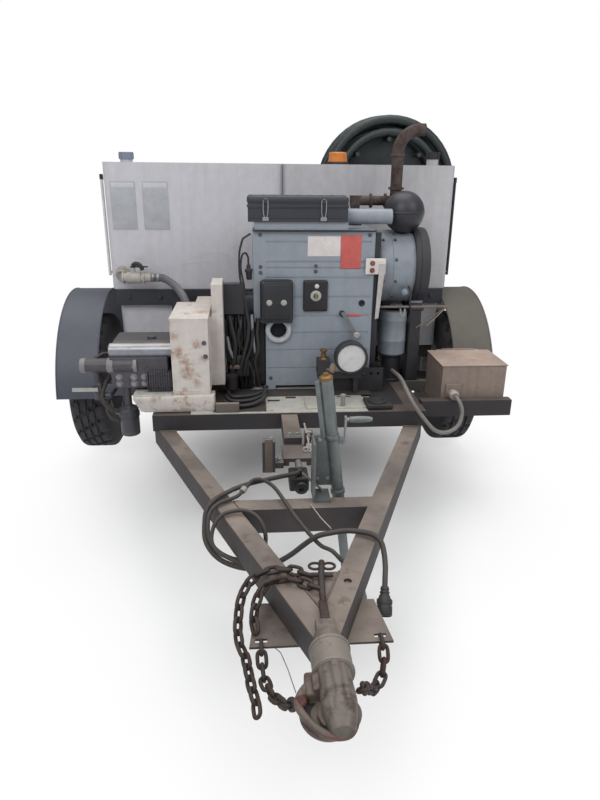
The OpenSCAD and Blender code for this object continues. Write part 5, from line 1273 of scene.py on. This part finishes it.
# Malleable iron fittings: pale brown rust.
rusty_pipe = weathered("rusty_pipe_fitting", "#8a7a70", "#a3978c", rust="#6b4432", dusty=0.5, rusty=0.55,
                       mottle=0.25)
fittings = [turned("union", at(x, 1636, 566), Vector((1, 0, 0)), profile, rusty_pipe, sides=24)
            for x, profile in [
                (150, [(0, 0), (0, 16), (14, 17), (16, 22), (36, 22), (38, 16), (66, 15), (66, 0)]),
                (216, [(0, 0), (0, 19), (24, 19), (26, 14), (58, 13), (58, 0)])]]
joined("gauge_pipe_unions", fittings)


# ---- Deck fittings ----
# A loose sheet of scratched steel lies in front of the engine, with a pin through it. A black slotted
# bracket with a round port is bolted to its right, over a drip tray. The deck has a dark patch, a strip of
# painted shadow and slots of painted shade.

# Loose bare sheet: pale grey, scratched, brown at the stains.
bare_plate = weathered("scratched_steel_plate", "#a7a7a1", "#bdb8ab", rust="#80705c", dusty=0.5,
                       rusty=0.25, metal=0.25)
block("slotted_plate", (60, 1478, 449.4), (330, 1600, 453), bare_plate, 1)
turned("plate_pins", at(206, 1500, 450), Vector((0, 0, 1)),
       [(0, 0), (0, 9), (40, 9), (42, 12), (50, 12), (52, 8), (54, 0)], zinc, sides=24)
# Black enamel on pressed steel: matt, dusty. The deck slots in it are painted shade.
dark_enamel_and_shade = weathered("black_enamel_and_slot_shade", "#1e1d20", "#4a4744", rust="#3a2c25", dusty=0.45,
                          rusty=0.3)
block("slotted_bracket", (296, 1462, 450), (400, 1560, 466), dark_enamel_and_shade, 3)
turned("bracket_port", at(345, 1508, 466), Vector((0, 0, 1)),
       [(0, 0), (0, 36), (3, 38), (6, 36), (6, 28), (2, 26), (2, 0)], dark_enamel_and_shade, sides=40)
# Painted shade in the deck's slots.
joined("deck_slot_shade", [block("slot", (x, y, 449.2), (x + w, y + 11, 452.6), dark_enamel_and_shade, 1)
                      for x, y, w in ((-14, 1604, 42), (-88, 1572, 48), (196, 1600, 58))])
# A dark brown patch on the deck; the strip before the capsule is painted shadow.
dark_deck = weathered("dark_deck_patch_and_shadow", "#2c2a29", "#4d4843", rust="#46342a", dusty=0.5, rusty=0.5)
block("dark_deck_mat", (-300, 1462, 449.3), (-96, 1716, 451.2), dark_deck, 0.5)
# Painted shadow on the deck in front of the capsule.
block("deck_shadow_strip", (-95, 1628, 449.3), (344, 1716, 451.2), dark_deck, 0.5)
block("deck_drip_tray", (300, 1484, 438), (466, 1796, 444), dark_enamel_and_shade, 2)


# ---- Hoses and wires beside the engine ----
# Between guard and capsule hang oily black hoses and leads, a bullet plug and the ribbed generator,
# in front of the engine's castings. More hoses lie coiled on the deck below them.

# Fuel hose rubber under oil: black, with a soft sheen.
oily_hose = weathered("oily_black_hose", "#1b1a1c", "#48433f", dusty=0.35, rusty=0.0, rough=0.5)
# Cast and pressed iron under oil: blue-black. On the block by the capsule's left side it is painted shadow.
engine_iron_and_shadow = weathered("oily_iron_and_painted_shadow", "#1b1b1f", "#3c3937", rust="#4a382e", dusty=0.35, rusty=0.3,
                           rough=0.6)
turned("generator", at(-252, 1800, 790), Vector((1, 0, 0)),
       [(0, 0), (0, 50), (6, 56.5), (18, 56.5), (20, 50), (24, 50), (26, 56.5), (40, 56.5), (42, 50),
        (46, 50), (48, 56.5), (70, 56.5), (76, 48), (110, 46), (114, 0)], engine_iron_and_shadow, sides=40)
loom = []
for route, radius in [([(-146, 1722, 1090), (-176, 1716, 1072), (-190, 1712, 1020), (-192, 1706, 950),
                        (-186, 1700, 900), (-176, 1690, 850), (-168, 1684, 790)], 4),
                      ([(-156, 1714, 968), (-156, 1712, 1000), (-166, 1710, 1018), (-180, 1708, 1008),
                        (-186, 1706, 960), (-176, 1700, 900), (-170, 1690, 840), (-160, 1684, 760)], 4),
                      ([(-168, 1690, 800), (-158, 1684, 740), (-164, 1680, 680), (-180, 1676, 620),
                        (-196, 1676, 560)], 9),
                      ([(-150, 1690, 770), (-142, 1680, 720), (-150, 1676, 650), (-172, 1674, 590),
                        (-180, 1676, 530)], 7),
                      ([(-236, 1690, 775), (-226, 1680, 720), (-214, 1676, 660), (-222, 1676, 590),
                        (-232, 1680, 530), (-220, 1684, 480)], 10),
                      ([(-200, 1700, 775), (-194, 1688, 735), (-204, 1684, 690), (-196, 1684, 640),
                        (-206, 1690, 590)], 5),
                      ([(-120, 1700, 760), (-128, 1690, 700), (-122, 1684, 640), (-136, 1684, 580),
                        (-128, 1690, 520), (-120, 1700, 470)], 8)]:
    loom.append(bead("hose", eased([at(*p) for p in route], 6), radius / 1000, oily_hose))
joined("engine_side_hoses", loom)
block("engine_side_casting", (-250, 1722, 452), (-142, 1790, 742), engine_iron_and_shadow, 10)
block("engine_side_bracket", (-238, 1702, 640), (-188, 1724, 716), engine_iron_and_shadow, 4)
turned("lift_pump", at(-205, 1722, 560), Vector((0, -1, 0)),
       [(0, 0), (0, 34), (8, 36), (14, 30), (24, 28), (26, 12), (36, 10), (36, 0)], engine_iron_and_shadow,
       sides=32)
turned("drain_cock", at(-160, 1722, 650), Vector((0, -1, 0)),
       [(0, 0), (0, 22), (6, 24), (16, 22), (18, 10), (30, 9), (30, 0)], engine_iron_and_shadow, sides=24)
fuel_hoses = []
for k in range(9):
    x, lean, girth = -246 + 12 * k, 14 * math.sin(2.1 * k), 4 + (k * 7) % 4
    route = [(x, 1716, 772), (x + lean / 2, 1700 - k % 3 * 8, 730), (x + lean, 1694, 672),
             (x - lean / 2, 1690, 612), (x + lean, 1696 - k % 2 * 14, 548), (x + lean / 2, 1704, 492),
             (x, 1716, 458)]
    fuel_hoses.append(bead("hose", eased([at(*p) for p in route], 5), girth / 1000, oily_hose))
for k in range(3):
    y = 1500 + 52 * k
    route = [(-262 + 8 * k, y + 40, 466), (-240, y + 8, 462), (-196 - 9 * k, y - 8, 462),
             (-150, y + 6, 463), (-112 + 6 * k, y + 34, 470), (-96, y + 60, 482)]
    fuel_hoses.append(bead("hose", eased([at(*p) for p in route], 5), 0.009, oily_hose))
joined("fuel_and_lead_hoses", fuel_hoses)
bright_pipe = [bead("pipe", eased([at(*p) for p in [(-146, 1684, 780), (-145, 1680, 740),
                                                    (-142, 1680, 690), (-138, 1684, 640),
                                                    (-132, 1690, 610)]], 4), 0.006, bright)]
bright_pipe.append(bead("lever", [at(-246, 1684, 690), at(-238, 1676, 640), at(-222, 1674, 600)], 0.007,
                        bright))
joined("engine_side_pipes", bright_pipe)
turned("bullet_plug", at(-156, 1713, 972), Vector((0.05, -0.1, -1)),
       [(0, 0), (0, 8), (14, 9), (16, 15), (24, 16), (28, 13), (54, 11), (58, 9), (58, 0)], plug_plastic,
       sides=24)
# Folded strip: brown, greasy.
filter_rust = weathered("oily_rusty_bracket", "#5b4a44", "#877569", rust="#6b3d2a", dusty=0.5, rusty=0.6)
block("fuel_bracket", (-214, 1676, 520), (-160, 1700, 612), engine_iron_and_shadow, 6)
block("fuel_bracket_arm", (-240, 1668, 556), (-196, 1690, 572), filter_rust, 4)
turned("fuel_filter", at(-234, 1672, 470), Vector((0, 0, 1)),
       [(0, 0), (0, 20), (4, 25), (52, 25), (54, 28), (64, 28), (66, 18), (70, 0)], engine_iron_and_shadow,
       sides=32)
block("side_bracket", (-290, 1462, 455), (-232, 1500, 470), filter_rust, 3)
# Painted shadow by the capsule's left side, in the dark iron finish.
block("capsule_left_shadow", (-136, 1726, 470), (-92, 1776, 738), engine_iron_and_shadow, 4)


# ---- Battery box ----
# A folded sheet box in tan paint on a shelf outside the frame, with a hinged lid. A small plate with
# a conduit gland sits at its front, and a grey ribbed conduit loops down and back to the frame.

# Tan enamel on folded sheet: its top is pale with dust, rust shows at the folds.
battery_paint = weathered("dusty_tan_enamel", "#776a62", "#b59e90", rust="#4f3a2e", dusty=0.9, rusty=0.25,
                          rough=0.6, runs=0.2)
paint(battery_paint, "battery_box", "battery_lid")
rounded(2.0, "battery_box", "battery_lid", segments=2)
turned("conduit_gland", at(665, 1518, 475), Vector((0, 1, 0)),
       [(0, 10.4), (0, 14), (4, 17), (14, 17), (16, 19.5), (30, 19.5), (32, 17), (46, 17), (46, 0)],
       eye_steel, sides=24)
CONDUIT = [at(*p) for p in [
    (665, 1516, 475), (665, 1500, 475), (674, 1486, 461), (684, 1482, 430), (681, 1474, 400),
    (668, 1466, 372), (640, 1456, 354), (600, 1444, 352), (560, 1434, 371), (516, 1430, 420),
    (478, 1430, 471), (456, 1460, 510), (453, 1540, 530), (458, 1640, 526), (465, 1740, 508),
    (467, 1790, 500), (467, 1807.5, 499)]]
# Ribbed vinyl conduit: grey, matt with dust.
conduit_grey = weathered("dusty_grey_conduit", "#6f6c69", "#8f8880", dusty=0.5, rusty=0.0, rough=0.6,
                         mottle=0.15)
conduit = ribbed("battery_conduit_hose", eased(CONDUIT, 6), 8.0, 0.6, 6.0, 12, conduit_grey)
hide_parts("battery_conduit")


# ---- Brake and lamp cables ----
# The cable of the brakes and lamps, in black rubber. It passes over the left tongue tube and under
# it, comes back over it, and one run goes across to the right tube. Two thin wires tie it.
BRANCH = [at(*p) for p in [
    (94, 616.5, 339), (80, 628, 342), (58, 648, 358), (30, 678, 357), (0, 716, 374),
    (-26, 758, 390), (-46, 815, 394), (-66, 880, 397), (-84, 928, 402), (-105, 953, 410),
    (-128, 962, 417), (-150, 960, 417), (-168, 946, 407), (-184, 925, 398), (-202, 904, 392),
    (-230, 886, 390), (-258, 862, 391), (-281, 838, 376), (-286, 808, 347), (-281, 782, 322),
    (-262, 758, 304), (-232, 742, 290), (-198, 730, 284), (-160, 724, 285), (-130, 730, 301),
    (-120, 742, 330), (-122, 758, 361), (-136, 780, 384), (-158, 802, 393), (-184, 816, 394),
    (-212, 815, 393), (-240, 804, 390), (-260, 790, 376), (-272, 774, 350), (-272, 756, 326),
    (-256, 740, 307), (-226, 724, 296), (-196, 706, 291), (-174, 694, 286), (-162, 684, 286),
    (-158, 680, 296)]]
branch = bead("brake_and_lamp_cable", eased(BRANCH, 5), 0.006, sheath)
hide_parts("wiring_branch")
# Cloth tape: pale grey and matt.
tape = weathered("pale_cable_tape", "#8f8b86", "#9d968e", dusty=0.3, rusty=0.1)
turned("cable_tie_tape", at(-178, 936, 403), Vector((-0.45, -0.75, -0.3)),
       [(0, 6.2), (0, 9.2), (1, 10), (16, 10), (17, 9.2), (17, 6.2)], tape, sides=20)
thin = [bead("wire", [at(*p) for p in [(-108, 358, 298), (-98, 307, 330), (-86, 250, 338),
                                       (-73, 193, 330)]], 0.0009, bar_steel),
        bead("wire", [at(*p) for p in [(20, 858, 381.5), (40, 776, 386), (60, 694, 399)]], 0.0016,
             eye_steel)]
joined("tie_wires", thin)
